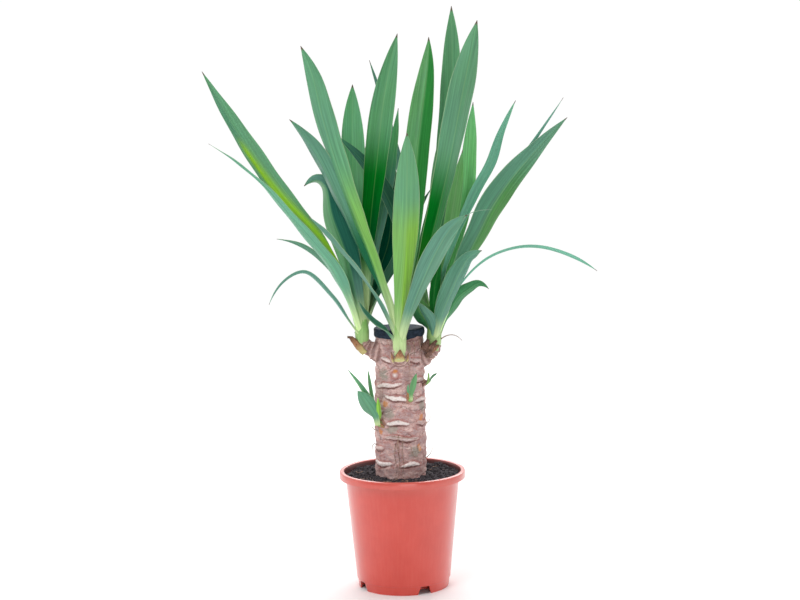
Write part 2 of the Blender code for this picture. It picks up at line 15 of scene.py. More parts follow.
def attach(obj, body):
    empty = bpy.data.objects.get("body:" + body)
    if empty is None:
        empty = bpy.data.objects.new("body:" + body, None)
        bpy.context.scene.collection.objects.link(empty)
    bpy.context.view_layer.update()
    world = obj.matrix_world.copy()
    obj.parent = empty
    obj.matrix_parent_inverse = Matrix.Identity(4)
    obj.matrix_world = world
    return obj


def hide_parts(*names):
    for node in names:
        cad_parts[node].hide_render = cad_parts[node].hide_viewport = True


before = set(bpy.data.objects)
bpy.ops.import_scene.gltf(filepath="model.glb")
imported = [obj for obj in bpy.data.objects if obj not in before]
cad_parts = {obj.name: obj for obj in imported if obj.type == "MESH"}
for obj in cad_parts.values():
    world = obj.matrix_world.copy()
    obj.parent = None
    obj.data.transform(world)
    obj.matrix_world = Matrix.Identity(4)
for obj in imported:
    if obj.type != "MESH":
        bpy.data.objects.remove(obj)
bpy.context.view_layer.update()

MM = 0.001
SCENE = bpy.context.scene
UP = Vector((0, 0, 1))
# Direction that the first side of every tube faces
TUBE_SEAM = Vector((0.31, 0.87, 0.38))

# Camera, its place in metres: it stands before the plant and looks a little down, as in the photograph
PHOTO_WIDTH = 800
FOCAL_PIXELS = 1811
SENSOR_WIDTH = 36.0
CAMERA_PLACE = (0.0, -1.7, 0.483)
CAMERA_PITCH = 6.97
CAMERA_ROLL = 0.8

# Studio
WORLD_FRONT = 0.35
WORLD_BACK = 1.02
WORLD_FRONT_Y = -0.7
WORLD_BACK_Y = 0.1
FLOOR_RADIUS = 1500.0
FLOOR_SIDES = 96
# Area lights, in metres and watts: name, place, target, size and power
LIGHTS = (
    ("key", (-0.8, -1.3, 1.8), (0, 0, 0.25), 0.9, 14.0),
    ("fill", (0.3, -1.7, 0.3), (0, 0, 0.1), 0.9, 4.5),
    ("back", (0.2, 1.8, 1.7), (0, 0.5, 0), 2.0, 34.0),
)

# Pot
POT_HEIGHT = 112.0
LIP_RADIUS = 60.0
LIP_INNER_RADIUS = 55.6
LIP_DROP = 6.8
POT_WALL = 1.3
BODY_TOP_RADIUS = 54.0
BODY_TOP_Z = 102.0
BODY_FOOT_RADIUS = 44.9
FOOT_HEIGHT = 8.5
FOOT_STEP = 0.7
FOOT_BOTTOM_RADIUS = 43.2
PAD_RADIUS = 27.0
PAD_THICKNESS = 1.8
CHANNEL_Z = 3.2
POT_SIDES = 176
POT_ROUNDING = 0.35
NOTCH_AZIMUTHS = (-63.0, 27.0, 117.0, 207.0)
NOTCH_WIDTH = 14.0
NOTCH_TOP_WIDTH = 9.0
NOTCH_HEIGHT = 7.6

# Soil
SOIL_Z = 108.0
SOIL_SIDES = 300
SOIL_RINGS = 70
CRUMB_COUNT = 620
SOIL_FIBRE_COUNT = 20
CRUMB_REACH = 52.5
FIBRE_REACH = 51.0

# Seeds of the random draws
SCAR_SEED = 5
CRUMB_SEED = 11
FIBRE_SEED = 23

# Cane
CANE_X = -1.2
CANE_RADIUS = 24.2
CANE_TOP_RADIUS = 22.6
CANE_FOOT_Z = 98.0
CANE_TOP_Z = 247.0
CANE_SIDES = 264
CANE_RINGS = 300

# Wax on the sawn top
WAX_WALL = 0.9
WAX_SKIRT = 5.5
WAX_THICKNESS = 2.2
WAX_SIDES = 144
GAP = 0.3

# Side branches: start on the cane, seat of the shoot, radius
BRANCHES = {
    "shoot_left": ((-12.0, -5.0, 223.0), (-36.0, -6.0, 238.0), 7.0),
    "shoot_front": ((-1.0, -14.0, 221.0), (-1.0, -33.0, 234.0), 7.0),
    "shoot_right": ((12.0, -1.0, 218.0), (31.5, -2.0, 232.0), 7.4),
}
BRANCH_RISE = 7.0
STEM_HEIGHT = 36.0
STEM_PALE = {"shoot_left": 0.35, "shoot_front": 0.9, "shoot_right": 0.6}
STEM_TOP_RADIUS = 2.6

# Buds of the small sprouts: azimuth round the cane, height, radius
SPROUT_BUDS = {
    "sprout_left": (222.0, 160.0, 3.8),
    "sprout_front": (-68.0, 184.0, 3.2),
    "sprout_right": (-14.0, 197.0, 2.6),
}
BUD_REACH = 25.8

# How far from the stem's axis the leaves start, as a share of its radius
SHOOT_ROOT_SHARE = 0.32
SPROUT_ROOT_SHARE = 0.1

# Blade section
EDGE_THICKNESS = 0.35
RIB_THICKNESS = 1.0
ROOT_THICKNESS = 2.4
ROOT_FOLD = 50.0
BLADE_FOLD = 24.0
NECK_WIDTH = 0.52
WAVE_LENGTH = 46.0
MASK_FADE = 0.22
STREAK_HALF = 0.36
BLADE_STEPS = 60
BLADE_COLUMNS = 12


class Leaf:
    """One leaf: azimuth and height of its root on the stem; full width; turns of its upper face from the
    front at its middle and tip; share of the length where it is widest and how full it stays past it; then
    points that its midrib passes through, the last one being the tip. The looks are masks of a colour:
    how strong on the half that is seen on the left and on the right, and from where to where along it. A
    streak of the lime colour runs from one share along and across the leaf to another."""

    def __init__(self, azimuth, rise, width, turns, widest, fullness, *midrib, **looks):
        self.azimuth = azimuth
        self.rise = rise
        self.width = width
        self.turns = turns
        self.widest = widest
        self.fullness = fullness
        self.midrib = midrib
        # A leaf's tone is partly its own paler or darker green and partly painted light and shade: it
        # brightens leaves that lie in shadow and darkens some at the back
        self.tone = looks.get("tone", 0.0)
        self.wave = looks.get("wave", 0.5)
        self.roll = looks.get("roll", (0.0, 0.0))
        none = (0.0, 0.0, 0.0, 1.0)
        self.lime = looks.get("lime", none)
        # The deep mask is painted shade where a leaf lies in shade inside the plant, and painted light
        # shining through the blade, in dark saturated green
        self.deep = looks.get("deep", none)
        self.teal = looks.get("teal", none)
        self.pale = looks.get("pale", (1.0, 1.0, -0.3, 0.13))
        self.streak = looks.get("streak")


LEAVES = {
    "shoot_left": (
        Leaf(200, 6, 24, (42, 30), 0.55, 2.0, (-40.5, -6, 262), (-61.5, -11, 315), (-110.5, -18, 378),
             (-147, -22, 436), (-179, -24, 492), streak=(0.18, 0.95, 0.74, -0.4),
             lime=(0.0, 0.3, 0.1, 0.35), teal=(0.45, 0.2, 0.0, 0.95), tone=0.1,
             pale=(1.0, 1.0, -0.3, 0.07)),
        Leaf(222, 4, 17, (150, 120), 0.25, 1.1, (-44, -16, 267), (-59.5, -28, 306), (-95, -40, 353.5),
             (-128, -52, 393.5), (-171, -60, 427), teal=(0.4, 0.4, 0.1, 1.0), tone=0.4),
        Leaf(168, 8, 12, (125, 110), 0.55, 2.3, (-51.5, -2, 286), (-78.5, 12, 316.5), (-98.5, 20, 328),
             (-117, 24, 332.5), teal=(0.5, 0.5, 0.0, 1.0)),
        Leaf(235, 2, 5, (150, 150), 0.40, 2.3, (-47, -18, 257), (-62.5, -30, 282.5), (-87, -44, 307.5),
             (-105, -50, 301), (-120, -54, 279), teal=(0.9, 0.9, 0.0, 1.0), tone=0.2, wave=0.2),
        Leaf(255, 9, 29, (160, 140), 0.58, 2.3, (-39, -8, 268), (-47.5, -3, 313), (-61.5, 0, 356),
             (-67.5, 1, 384), (-76, 0, 390.5), (-88.5, -2, 384), lime=(0.1, 0.0, 0.3, 0.95),
             deep=(0.2, 0.85, 0.3, 0.85), teal=(0.2, 1.0, 0.1, 1.0)),
        Leaf(60, 20, 26, (-10, 10), 0.66, 2.3, (-33.5, -1, 276), (-29, 5, 332), (-22, 9, 393),
             (-12, 12, 467), (1, 16, 525), deep=(1.0, 1.0, 0.15, 0.6), teal=(0.0, 0.25, 0.2, 0.4),
             tone=0.08),
        Leaf(110, 16, 26, (10, 0), 0.66, 2.6, (-38.5, 9, 276), (-41, 26, 350), (-43.5, 48, 415),
             (-43, 62, 478), deep=(0.4, 0.4, 0.1, 0.5), tone=0.3),
        Leaf(50, 14, 18, (-35, -40), 0.55, 2.3, (-29.5, 10, 284), (-19, 28, 344.5), (-7, 42, 397.5),
             (1, 54, 455), deep=(0.4, 0.5, 0.5, 0.95), teal=(0.7, 0.9, 0.1, 0.75), tone=0.2),
        Leaf(2, 10, 13, (-35, -50), 0.40, 1.8, (-22.5, 9, 276), (-4.5, 22, 307.5), (17, 33, 352.5),
             (33, 40, 380), teal=(0.8, 0.8, 0.1, 1.0), deep=(0.5, 0.5, 0.1, 1.0)),
        Leaf(60, 9, 26, (-15, -10), 0.55, 2.3, (-28.5, 16, 280), (-10.5, 38, 329.5), (-8, 55, 375),
             (-14, 66, 425), deep=(1.0, 1.0, 0.0, 1.0), teal=(0.9, 0.9, 0.0, 1.0), tone=-0.15),
        Leaf(80, 8, 22, (0, 0), 0.62, 2.3, (-39, 14, 285), (-38, 48, 350), (-30, 84, 400),
             (-24, 108, 432), tone=-0.1),
        Leaf(125, 6, 21, (20, 10), 0.60, 2.3, (-44.5, 14, 275), (-54.5, 42, 325), (-53, 72, 380),
             (-46, 100, 430)),
        Leaf(145, 4, 19, (45, 30), 0.55, 2.3, (-44, 13, 262), (-51, 42, 299), (-53, 75, 327),
             (-52, 103, 338), tone=-0.1),
    ),
    "shoot_front": (
        Leaf(270, 6, 27, (180, 180), 0.56, 2.6, (0, -38, 266), (4, -53, 318), (7, -78, 370),
             (8, -98, 407), (8, -112, 436), lime=(0.4, 0.7, -0.1, 0.6), pale=(0.8, 0.8, -0.3, 0.1),
             tone=0.05),
        Leaf(215, 12, 23, (145, 175), 0.66, 3.0, (-7.5, -33, 268), (-23, -30, 313.5), (-46.5, -27, 378),
             (-68.5, -24, 450.5), (-76.5, -23, 484), (-88, -22, 514), deep=(0.55, 0.0, 0.12, 0.45),
             lime=(0.1, 0.45, 0.1, 0.5), teal=(0.3, 0.3, 0.6, 1.0), tone=0.08),
        Leaf(168, 10, 24, (130, 150), 0.62, 2.3, (-10, -26, 274), (-32, -21, 319), (-54, -19, 372.5),
             (-75, -18, 416), (-100, -18, 447), teal=(0.8, 0.6, 0.1, 1.0),
             deep=(0.85, 0.85, 0.12, 0.5)),
        Leaf(238, 4, 12, (95, 130), 0.66, 2.3, (-12.5, -38, 265), (-30.5, -50, 298.5),
             (-55.5, -63, 332), (-81, -74, 361), teal=(0.8, 0.8, 0.1, 1.0), tone=-0.05),
        Leaf(85, 20, 26, (-5, -10), 0.62, 2.6, (2, -29, 278), (11, -18, 333), (18, -8, 417),
             (29, -5, 500), (30, -4, 521), deep=(0.0, 0.8, 0.3, 1.0), tone=0.08),
        Leaf(50, 16, 22, (-20, -10), 0.70, 2.6, (9.5, -22, 282), (25, -3, 331.5), (40.5, 8, 387.5),
             (49.5, 16, 453), (52, 20, 550), deep=(0.5, 0.5, 0.1, 0.3), teal=(0.35, 0.35, 0.4, 1.0),
             tone=0.06),
        Leaf(320, 14, 28, (205, 185), 0.73, 2.3, (12, -32, 278.5), (26, -33, 326.5), (42, -34, 389.5),
             (56.5, -31, 457.5), (74, -28, 535), deep=(1.0, 0.75, 0.0, 0.52),
             lime=(0.15, 0.35, 0.0, 0.25), teal=(0.2, 0.1, 0.5, 1.0), tone=-0.06),
        Leaf(292, 4, 22, (190, 180), 0.60, 2.3, (7.5, -43, 266), (17, -55, 291.5), (31.5, -77, 325.5),
             (46, -96, 350), (60, -110, 363), teal=(0.75, 0.6, 0.1, 1.0), tone=-0.04),
        Leaf(205, 2, 11, (70, 60), 0.50, 2.3, (-13, -37, 251), (-24.5, -40, 260), (-34, -43, 271),
             (-38, -45, 280), deep=(0.5, 0.5, 0.0, 1.0), teal=(0.8, 0.8, 0.0, 1.0)),
        Leaf(80, 9, 22, (0, 0), 0.62, 2.3, (4, -10, 300), (11, 6, 350), (18, 42, 415), (23, 82, 470)),
    ),
    "shoot_right": (
        Leaf(20, 14, 12, (-30, -20), 0.68, 1.8, (36.5, 2, 274), (50, 6, 326), (71.5, 10, 373),
             (88, 14, 402.5), (99, 18, 433.5), (112, 22, 461), teal=(0.8, 0.8, 0.0, 1.0), tone=0.75),
        Leaf(338, 8, 28.5, (200, 190), 0.60, 1.5, (40, -4, 267.5), (61.5, -9, 315), (75, -11, 340.5),
             (85.5, -13, 361.5), (103.5, -17, 388), (136, -22, 425), (156.5, -24, 445.5),
             teal=(0.35, 0.1, 0.0, 1.0), deep=(0.1, 0.6, 0.2, 0.75), lime=(0.0, 0.15, 0.3, 0.7),
             tone=-0.08),
        Leaf(55, 18, 19, (-30, -20), 0.62, 2.3, (36.5, 5, 272), (51.5, 16, 319.5), (64, 22, 366.5),
             (69, 28, 419), (72, 30, 460), tone=0.8, lime=(0.1, 0.1, 0.1, 1.0)),
        Leaf(120, 18, 15, (10, 0), 0.62, 2.3, (32.5, 3, 272), (43.5, 7, 321), (52.5, 10, 368),
             (61, 14, 415), lime=(0.2, 0.2, 0.1, 1.0), tone=0.1),
        Leaf(285, 4, 23, (190, 160), 0.50, 2.6, (39, -17, 265), (47.5, -29, 286.5), (56, -42, 306),
             (64.5, -54, 320.5), (75, -62, 327), teal=(0.6, 0.6, 0.1, 1.0), roll=(50.0, 0.0)),
        Leaf(352, 3, 18, (208, 198), 0.50, 1.6, (44, -8, 261), (54, -14, 279), (65, -17, 287.5),
             (74, -19, 292), (83, -21, 287), deep=(0.5, 0.5, 0.1, 1.0)),
        Leaf(320, 2, 3.6, (200, 180), 0.85, 2.0, (44, -11, 262), (54.5, -18, 288), (79.5, -28, 315),
             (105, -34, 326), (130, -40, 327.5), (158.5, -46, 319), (181, -50, 305.5),
             teal=(0.8, 0.8, 0.0, 1.0), tone=0.7, wave=0.1),
        Leaf(232, 2, 13, (150, 150), 0.45, 2.3, (29, -13, 256), (23, -16, 266), (15.5, -18, 276),
             teal=(0.8, 0.8, 0.0, 1.0), wave=0.3),
        Leaf(255, 6, 11, (170, 170), 0.50, 2.3, (32, -8, 264), (32.5, -6, 283), (35.5, -4, 300),
             (39, -2, 316), deep=(0.9, 0.9, 0.0, 1.0)),
        Leaf(140, 12, 11, (40, 30), 0.60, 2.3, (26, 16, 270), (14, 50, 328), (-3, 80, 413),
             (-27, 98, 501.5), teal=(1.0, 1.0, 0.1, 1.0), tone=-0.1),
        Leaf(125, 8, 18, (30, 20), 0.60, 2.3, (23.5, 7, 268), (7.5, 16, 321.5), (-13.5, 24, 378),
             (-57, 30, 429), teal=(0.9, 0.9, 0.35, 1.0), deep=(0.6, 0.6, 0.35, 1.0)),
        Leaf(95, 9, 22, (5, 0), 0.62, 2.3, (34, 14, 285), (37.5, 48, 345), (43, 82, 400),
             (48, 110, 440)),
        Leaf(45, 7, 21, (-40, -30), 0.60, 2.3, (42.5, 12, 272), (64.5, 40, 314), (85.5, 68, 351),
             (103, 92, 380), tone=-0.1),
        Leaf(70, 5, 19, (-20, -20), 0.55, 2.3, (40.5, 14, 264), (53, 42, 293.5), (63.5, 70, 311.5),
             (72, 92, 318)),
        Leaf(330, 7, 6, (200, 190), 0.60, 1.6, (39, 1, 268), (56, -3, 316), (80, -7, 360),
             (115, -13, 407.5), (136.5, -16, 438.5), (153.5, -17, 463.5), teal=(1.0, 1.0, 0.5, 1.0),
             tone=0.2, wave=0.2),
        Leaf(200, 4, 22, (160, 165), 0.50, 2.3, (26, -3, 253.5), (18, -2, 266), (12, -1, 282),
             deep=(0.5, 0.3, 0.0, 1.0), lime=(0.0, 0.2, 0.0, 1.0), wave=0.2),
    ),
    "sprout_left": (
        Leaf(215, 1, 17, (165, 165), 0.55, 2.3, (-25, -22, 167), (-32, -24, 180), (-41, -25, 193),
             teal=(0.4, 0.4, 0.1, 1.0), wave=0.2),
        Leaf(190, 2, 8, (140, 130), 0.50, 2.3, (-27, -20, 177), (-37, -19, 194), (-50, -18, 212),
             lime=(0.3, 0.0, 0.2, 0.8), wave=0.1),
        Leaf(150, 3, 6.5, (60, 40), 0.50, 2.3, (-27, -16, 177), (-29.5, -15, 194), (-31, -15, 211),
             wave=0.1),
        Leaf(270, 2, 5, (180, 180), 0.45, 2.3, (-21, -23, 168), (-21.5, -25, 176), (-22, -26, 187),
             lime=(0.7, 0.7, 0.0, 1.0), wave=0.1),
    ),
    "sprout_front": (
        Leaf(270, 1, 6.5, (170, 170), 0.50, 2.3, (9.5, -28, 190), (11.5, -30, 200), (14.5, -31, 210),
             lime=(0.15, 0.15, 0.0, 1.0), teal=(0.3, 0.3, 0.3, 1.0), wave=0.2, tone=-0.05),
        Leaf(170, 1, 4, (130, 140), 0.45, 2.3, (7, -26, 189), (6, -27, 193), (7, -27.5, 199), wave=0.1),
    ),
    "sprout_right": (
        Leaf(350, 1, 4, (230, 210), 0.50, 2.3, (28, -7, 200), (31, -8, 203.5), (34, -9, 206), wave=0.1,
             tone=-0.3),
        Leaf(60, 1, 3, (300, 300), 0.50, 2.3, (26, -4, 200), (26.5, -3, 203), (26.5, -3, 206), wave=0.1,
             tone=-0.3),
    ),
}

# Pale leaf bases that clasp the foot of a shoot: azimuth, drop of the foot below the seat, height above
# it, how far out the foot is as a share of the stem's radius
SHEATHS = {
    "shoot_left": ((195, 3, 20, 0.6), (250, 5, 24, 0.9), (310, 4, 20, 0.8), (70, 3, 22, 0.6)),
    "shoot_front": (
        (235, 7, 24, 0.9), (305, 7, 24, 0.9), (262, 10, 20, 1.02), (283, 9, 26, 1.0), (90, 2, 22, 0.6),
    ),
    "shoot_right": ((225, 4, 20, 0.8), (285, 5, 22, 0.9), (340, 3, 24, 0.7), (100, 3, 22, 0.6)),
}
# Threads that hang on the leaves of a shoot: points, and radius at the start
FILAMENTS = {
    "shoot_front": (
        (((56.5, -109.5, 359.5), (62, -108, 364), (71, -106, 366.5), (82.5, -104, 367)), 0.4),
    ),
}
SHEET_STEPS = 18
SHEET_COLUMNS = 10

# Leaf scars on the side that shows: azimuth from the front, height, half width in degrees, slant per 90
# degrees, how pale
FRONT_SCARS = (
    (-29.0, 197.0, 38.0, 6.0, 0.75),
    (-8.0, 184.7, 33.0, -7.0, 1.0),
    (-6.0, 161.0, 29.0, 0.0, 1.25),
    (2.0, 146.5, 46.0, -2.5, 0.45),
    (-50.0, 121.5, 34.0, 0.0, 0.9),
    (23.0, 121.0, 25.0, 1.0, 0.95),
    (-33.0, 221.0, 17.0, -6.0, 0.65),
    (44.0, 220.0, 27.0, -9.0, 0.35),
    (56.0, 182.0, 22.0, 0.0, 0.5),
    (52.0, 201.0, 24.0, 3.0, 0.35),
    (58.0, 160.0, 22.0, 0.0, 0.3),
    (-58.0, 172.0, 18.0, 2.0, 0.3),
    (-62.0, 136.0, 24.0, 0.0, 0.35),
)
BACK_SCAR_PITCH = 13.5
# Rings that the lost leaves left all round the cane
RING_START = 121.5
RING_PITCH = 13.0
# Patches on the bark: azimuth from the front, height, half width in degrees, half height
GREY_PATCHES = (
    (-41, 207, 14, 6), (-26, 170, 13, 6), (61, 176, 14, 7),
    (-20, 155, 16, 4), (15, 232, 16, 6), (35, 133, 18, 6),
)
ORANGE_PATCHES = (
    (56, 165, 9, 4), (-36, 179, 8, 3.5), (-11, 210.5, 8, 2.0), (-52, 152, 7, 3), (48, 136, 6, 4),
)
# The round scar of a lost bud: azimuth from the front, height
BUD_SCAR = (-11.0, 207.0)


def srgb(red, green, blue):
    """A linear colour from display values of 0 to 255."""
    shares = [value / 255 for value in (red, green, blue)]
    return tuple(s / 12.92 if s < 0.04045 else ((s + 0.055) / 1.055) ** 2.4 for s in shares)


# Leaves
LEAF_OUTER = srgb(90, 152, 112)
LEAF_INNER = srgb(92, 158, 98)
YOUNG_OUTER = srgb(94, 158, 108)
YOUNG_INNER = srgb(102, 168, 96)
TEAL = srgb(88, 140, 124)
# Painted shade: dark saturated greens for leaf parts in shade inside the plant, also standing in for light
# shining through the blade
PAINTED_SHADE_GREEN = srgb(2, 112, 30)
PAINTED_SHADE_TEAL = srgb(2, 86, 70)
LIME = srgb(146, 200, 24)
PALE_BASE = srgb(200, 222, 160)
RIB_COLOUR = srgb(150, 196, 126)
EDGE_COLOUR = srgb(178, 204, 158)
TIP_COLOUR = srgb(96, 78, 62)

# Bark, dry leaf bases and fibres
BARK_LIGHT = srgb(228, 198, 192)
BARK_DARK = srgb(188, 152, 148)
BARK_MAUVE = srgb(176, 154, 156)
BARK_RED = srgb(176, 92, 80)
BARK_FLAKE = srgb(236, 208, 198)
BARK_GREY = srgb(158, 154, 142)
BARK_ORANGE = srgb(222, 146, 84)
BARK_TOP = srgb(132, 90, 82)
BARK_SCAR = srgb(255, 244, 240)
# Painted shade in the bark's crevices
BARK_CREVICE_SHADE = srgb(70, 42, 38)
DRY_DARK = srgb(128, 84, 60)
DRY_LIGHT = srgb(196, 146, 104)
OLD_DARK = srgb(82, 56, 48)
OLD_LIGHT = srgb(150, 116, 102)
DRY_FOOT = srgb(214, 210, 142)
DRY_EDGE = srgb(70, 42, 32)
FIBRE_DARK = srgb(116, 88, 76)
FIBRE_LIGHT = srgb(190, 158, 140)

# Wax, peat and pot
WAX_DARK = srgb(22, 31, 44)
WAX_LIGHT = srgb(48, 60, 76)
WAX_SPECK = srgb(112, 112, 118)
PEAT_DARK = srgb(26, 24, 28)
PEAT_LIGHT = srgb(104, 96, 102)
PEAT_SPECK = srgb(150, 132, 124)
POT_DARK = srgb(206, 58, 42)
POT_LIGHT = srgb(213, 66, 50)
POT_STREAK = srgb(222, 104, 90)
POT_SCUFF = srgb(236, 170, 158)
POT_DUST = srgb(216, 150, 140)
# Painted shade on the pot's inner wall above the soil
POT_INNER_SHADE = srgb(48, 22, 26)


def ease(t):
    """A smooth step from 0 to 1 while t goes from 0 to 1."""
    t = min(max(t, 0.0), 1.0)
    return t * t * (3 - 2 * t)


def soft_step(t):
    """The same as ease, for arrays."""
    t = np.clip(t, 0.0, 1.0)
    return t * t * (3 - 2 * t)


def level(azimuth):
    """The level direction at an azimuth."""
    angle = math.radians(azimuth)
    return Vector((math.cos(angle), math.sin(angle), 0))


ATTRIBUTE_KINDS = {1: ("FLOAT", "value"), 3: ("FLOAT_VECTOR", "vector"), 4: ("FLOAT_COLOR", "color")}


def make_object(name, points, faces, attributes=None, smooth_angle=60.0):
    """An object from points in millimetres; attributes are {name: one number, vector or colour a point}."""
    points = np.asarray(points, float) * MM
    mesh = bpy.data.meshes.new(name)
    mesh.from_pydata(points.tolist(), [], [tuple(int(i) for i in face) for face in faces])
    for key, values in (attributes or {}).items():
        values = np.asarray(values, np.float32)
        width = 1 if values.ndim == 1 else values.shape[1]
        kind, field = ATTRIBUTE_KINDS[width]
        mesh.attributes.new(key, kind, "POINT").data.foreach_set(field, values.ravel())
    mesh.update()
    shape = bmesh.new()
    shape.from_mesh(mesh)
    bmesh.ops.recalc_face_normals(shape, faces=shape.faces)
    shape.to_mesh(mesh)
    shape.free()
    mesh.shade_smooth()
    mesh.set_sharp_from_angle(angle=math.radians(smooth_angle))
    obj = bpy.data.objects.new(name, mesh)
    SCENE.collection.objects.link(obj)
    return obj


def grid_faces(rows, columns, start=0, closed=False):
    """Quads of a grid of points; a closed one joins its last column to its first."""
    faces = []
    wide = columns if closed else columns - 1
    for i in range(rows - 1):
        for j in range(wide):
            k = (j + 1) % columns
            a, b = start + i * columns, start + (i + 1) * columns
            faces.append((a + j, a + k, b + k, b + j))
    return faces


def tube_faces(rows, sides):
    """Faces of a tube of rings of points, with its two ends."""
    last = (rows - 1) * sides
    ends = [tuple(range(sides))[::-1], tuple(range(last, last + sides))]
    return grid_faces(rows, sides, closed=True) + ends


def shell_faces(rows, columns):
    """Faces of a thin closed shell: the grid of its one side, that of its other side, and the edges."""
    count = rows * columns
    faces = grid_faces(rows, columns) + [face[::-1] for face in grid_faces(rows, columns, count)]
    rim = [i * columns for i in range(rows)]
    rim += [(rows - 1) * columns + j for j in range(1, columns)]
    rim += [i * columns + columns - 1 for i in range(rows - 2, -1, -1)]
    rim += [j for j in range(columns - 2, 0, -1)]
    for i, a in enumerate(rim):
        b = rim[(i + 1) % len(rim)]
        faces.append((a, b, b + count, a + count))
    return faces


class Pieces:
    """Gathers several shells, with their attributes, for one object."""

    def __init__(self):
        self.points = []
        self.faces = []
        self.attributes = {}
        self.count = 0

    def add(self, points, faces, **attributes):
        points = np.asarray(points, float)
        self.points.append(points)
        self.faces += [tuple(i + self.count for i in face) for face in faces]
        self.count += len(points)
        for key, values in attributes.items():
            self.attributes.setdefault(key, []).append(np.asarray(values, float))

    def build(self, name, smooth_angle=60.0):
        attributes = {key: np.concatenate(values) for key, values in self.attributes.items()}
        return make_object(name, np.concatenate(self.points), self.faces, attributes, smooth_angle)


def smooth_path(points, steps):
    """Evenly spaced points along a smooth curve through the given ones."""
    points = np.array([tuple(p) for p in points], float)
    gaps = np.sqrt(np.linalg.norm(np.diff(points, axis=0), axis=1))
    slopes = np.diff(points, axis=0) / gaps[:, None]
    inner = (slopes[:-1] * gaps[1:, None] + slopes[1:] * gaps[:-1, None]) / (gaps[:-1] + gaps[1:])[:, None]
    ends = np.vstack([2 * slopes[0] - inner[0], inner, 2 * slopes[-1] - inner[-1]])
    dense = []
    for i, gap in enumerate(gaps):
        for t in np.linspace(0, 1, 40, endpoint=False):
            start, stop = 2 * t**3 - 3 * t**2 + 1, 3 * t**2 - 2 * t**3
            leave, arrive = t**3 - 2 * t**2 + t, t**3 - t**2
            dense.append(
                start * points[i] + stop * points[i + 1] + gap * (leave * ends[i] + arrive * ends[i + 1])
            )
    dense.append(points[-1])
    dense = np.array(dense)
    travelled = np.concatenate([[0], np.cumsum(np.linalg.norm(np.diff(dense, axis=0), axis=1))])
    wanted = np.linspace(0, travelled[-1], steps + 1)
    return np.column_stack([np.interp(wanted, travelled, dense[:, i]) for i in range(3)])


def round_ring(centre, axis, radius, sides, across):
    """Points round a centre, in the plane across the axis, from the direction given."""
    axis = Vector(axis).normalized()
    across = across.normalized()
    other = axis.cross(across)
    angles = [2 * math.pi * i / sides for i in range(sides)]
    return [Vector(centre) + radius * (math.cos(a) * across + math.sin(a) * other) for a in angles]


def tube(points, radii, sides):
    """Points and faces of a closed tube along a line."""
    points = [Vector(p) for p in points]
    rings = []
    for i, centre in enumerate(points):
        direction = points[min(i + 1, len(points) - 1)] - points[max(i - 1, 0)]
        across = TUBE_SEAM - direction * TUBE_SEAM.dot(direction) / direction.length_squared
        rings += round_ring(centre, direction, float(radii[i]), sides, across)
    return np.array([tuple(p) for p in rings]), tube_faces(len(points), sides)


class Nodes:
    """A short way to write a material's node tree round its Principled shader."""

    def __init__(self, name):
        self.material = bpy.data.materials.new(name)
        self.material.use_nodes = True
        self.tree = self.material.node_tree
        self.shader = self.tree.nodes["Principled BSDF"]

    def put(self, socket, value):
        if isinstance(value, bpy.types.NodeSocket):
            self.tree.links.new(value, socket)
        elif isinstance(value, tuple) and len(value) == 3 and socket.type == "RGBA":
            socket.default_value = (*value, 1.0)
        else:
            socket.default_value = value

    def add(self, kind, inputs=None, **settings):
        node = self.tree.nodes.new("ShaderNode" + kind)
        for key, value in settings.items():
            setattr(node, key, value)
        for key, value in (inputs or {}).items():
            self.put(node.inputs[key], value)
        return node

    def set(self, **inputs):
        for key, value in inputs.items():
            self.put(self.shader.inputs[key.replace("_", " ")], value)

    def calc(self, operation, a, b=0.0, c=0.0):
        return self.add("Math", {0: a, 1: b, 2: c}, operation=operation).outputs[0]

    def mix(self, share, a, b, blend="MIX"):
        node = self.add("Mix", {0: share, 6: a, 7: b}, data_type="RGBA", blend_type=blend)
        return node.outputs[2]

    def remap(self, value, low, high, to_low=0.0, to_high=1.0):
        inputs = {0: value, 1: low, 2: high, 3: to_low, 4: to_high}
        return self.add("MapRange", inputs, interpolation_type="SMOOTHSTEP").outputs[0]

    def attribute(self, name):
        return self.add("Attribute", attribute_name=name)

    def split(self, vector):
        return self.add("SeparateXYZ", {0: vector}).outputs

    def place(self, scale=(1.0, 1.0, 1.0), source=None):
        """Coordinates in millimetres, stretched by scale."""
        if source is None:
            source = self.add("TexCoord").outputs["Object"]
            scale = tuple(s / MM for s in scale)
        return self.add("Mapping", {"Vector": source, "Scale": scale}).outputs[0]

    def noise(self, vector, scale=1.0, detail=4.0, roughness=0.55, distortion=0.0):
        inputs = {"Vector": vector, "Scale": scale, "Detail": detail, "Roughness": roughness}
        inputs["Distortion"] = distortion
        return self.add("TexNoise", inputs).outputs[0]

    def bump(self, height, distance):
        """Bump whose height runs from 0 to 1 over the distance, in millimetres."""
        self.set(Normal=self.add("Bump", {"Height": height, "Distance": distance * MM}).outputs[0])


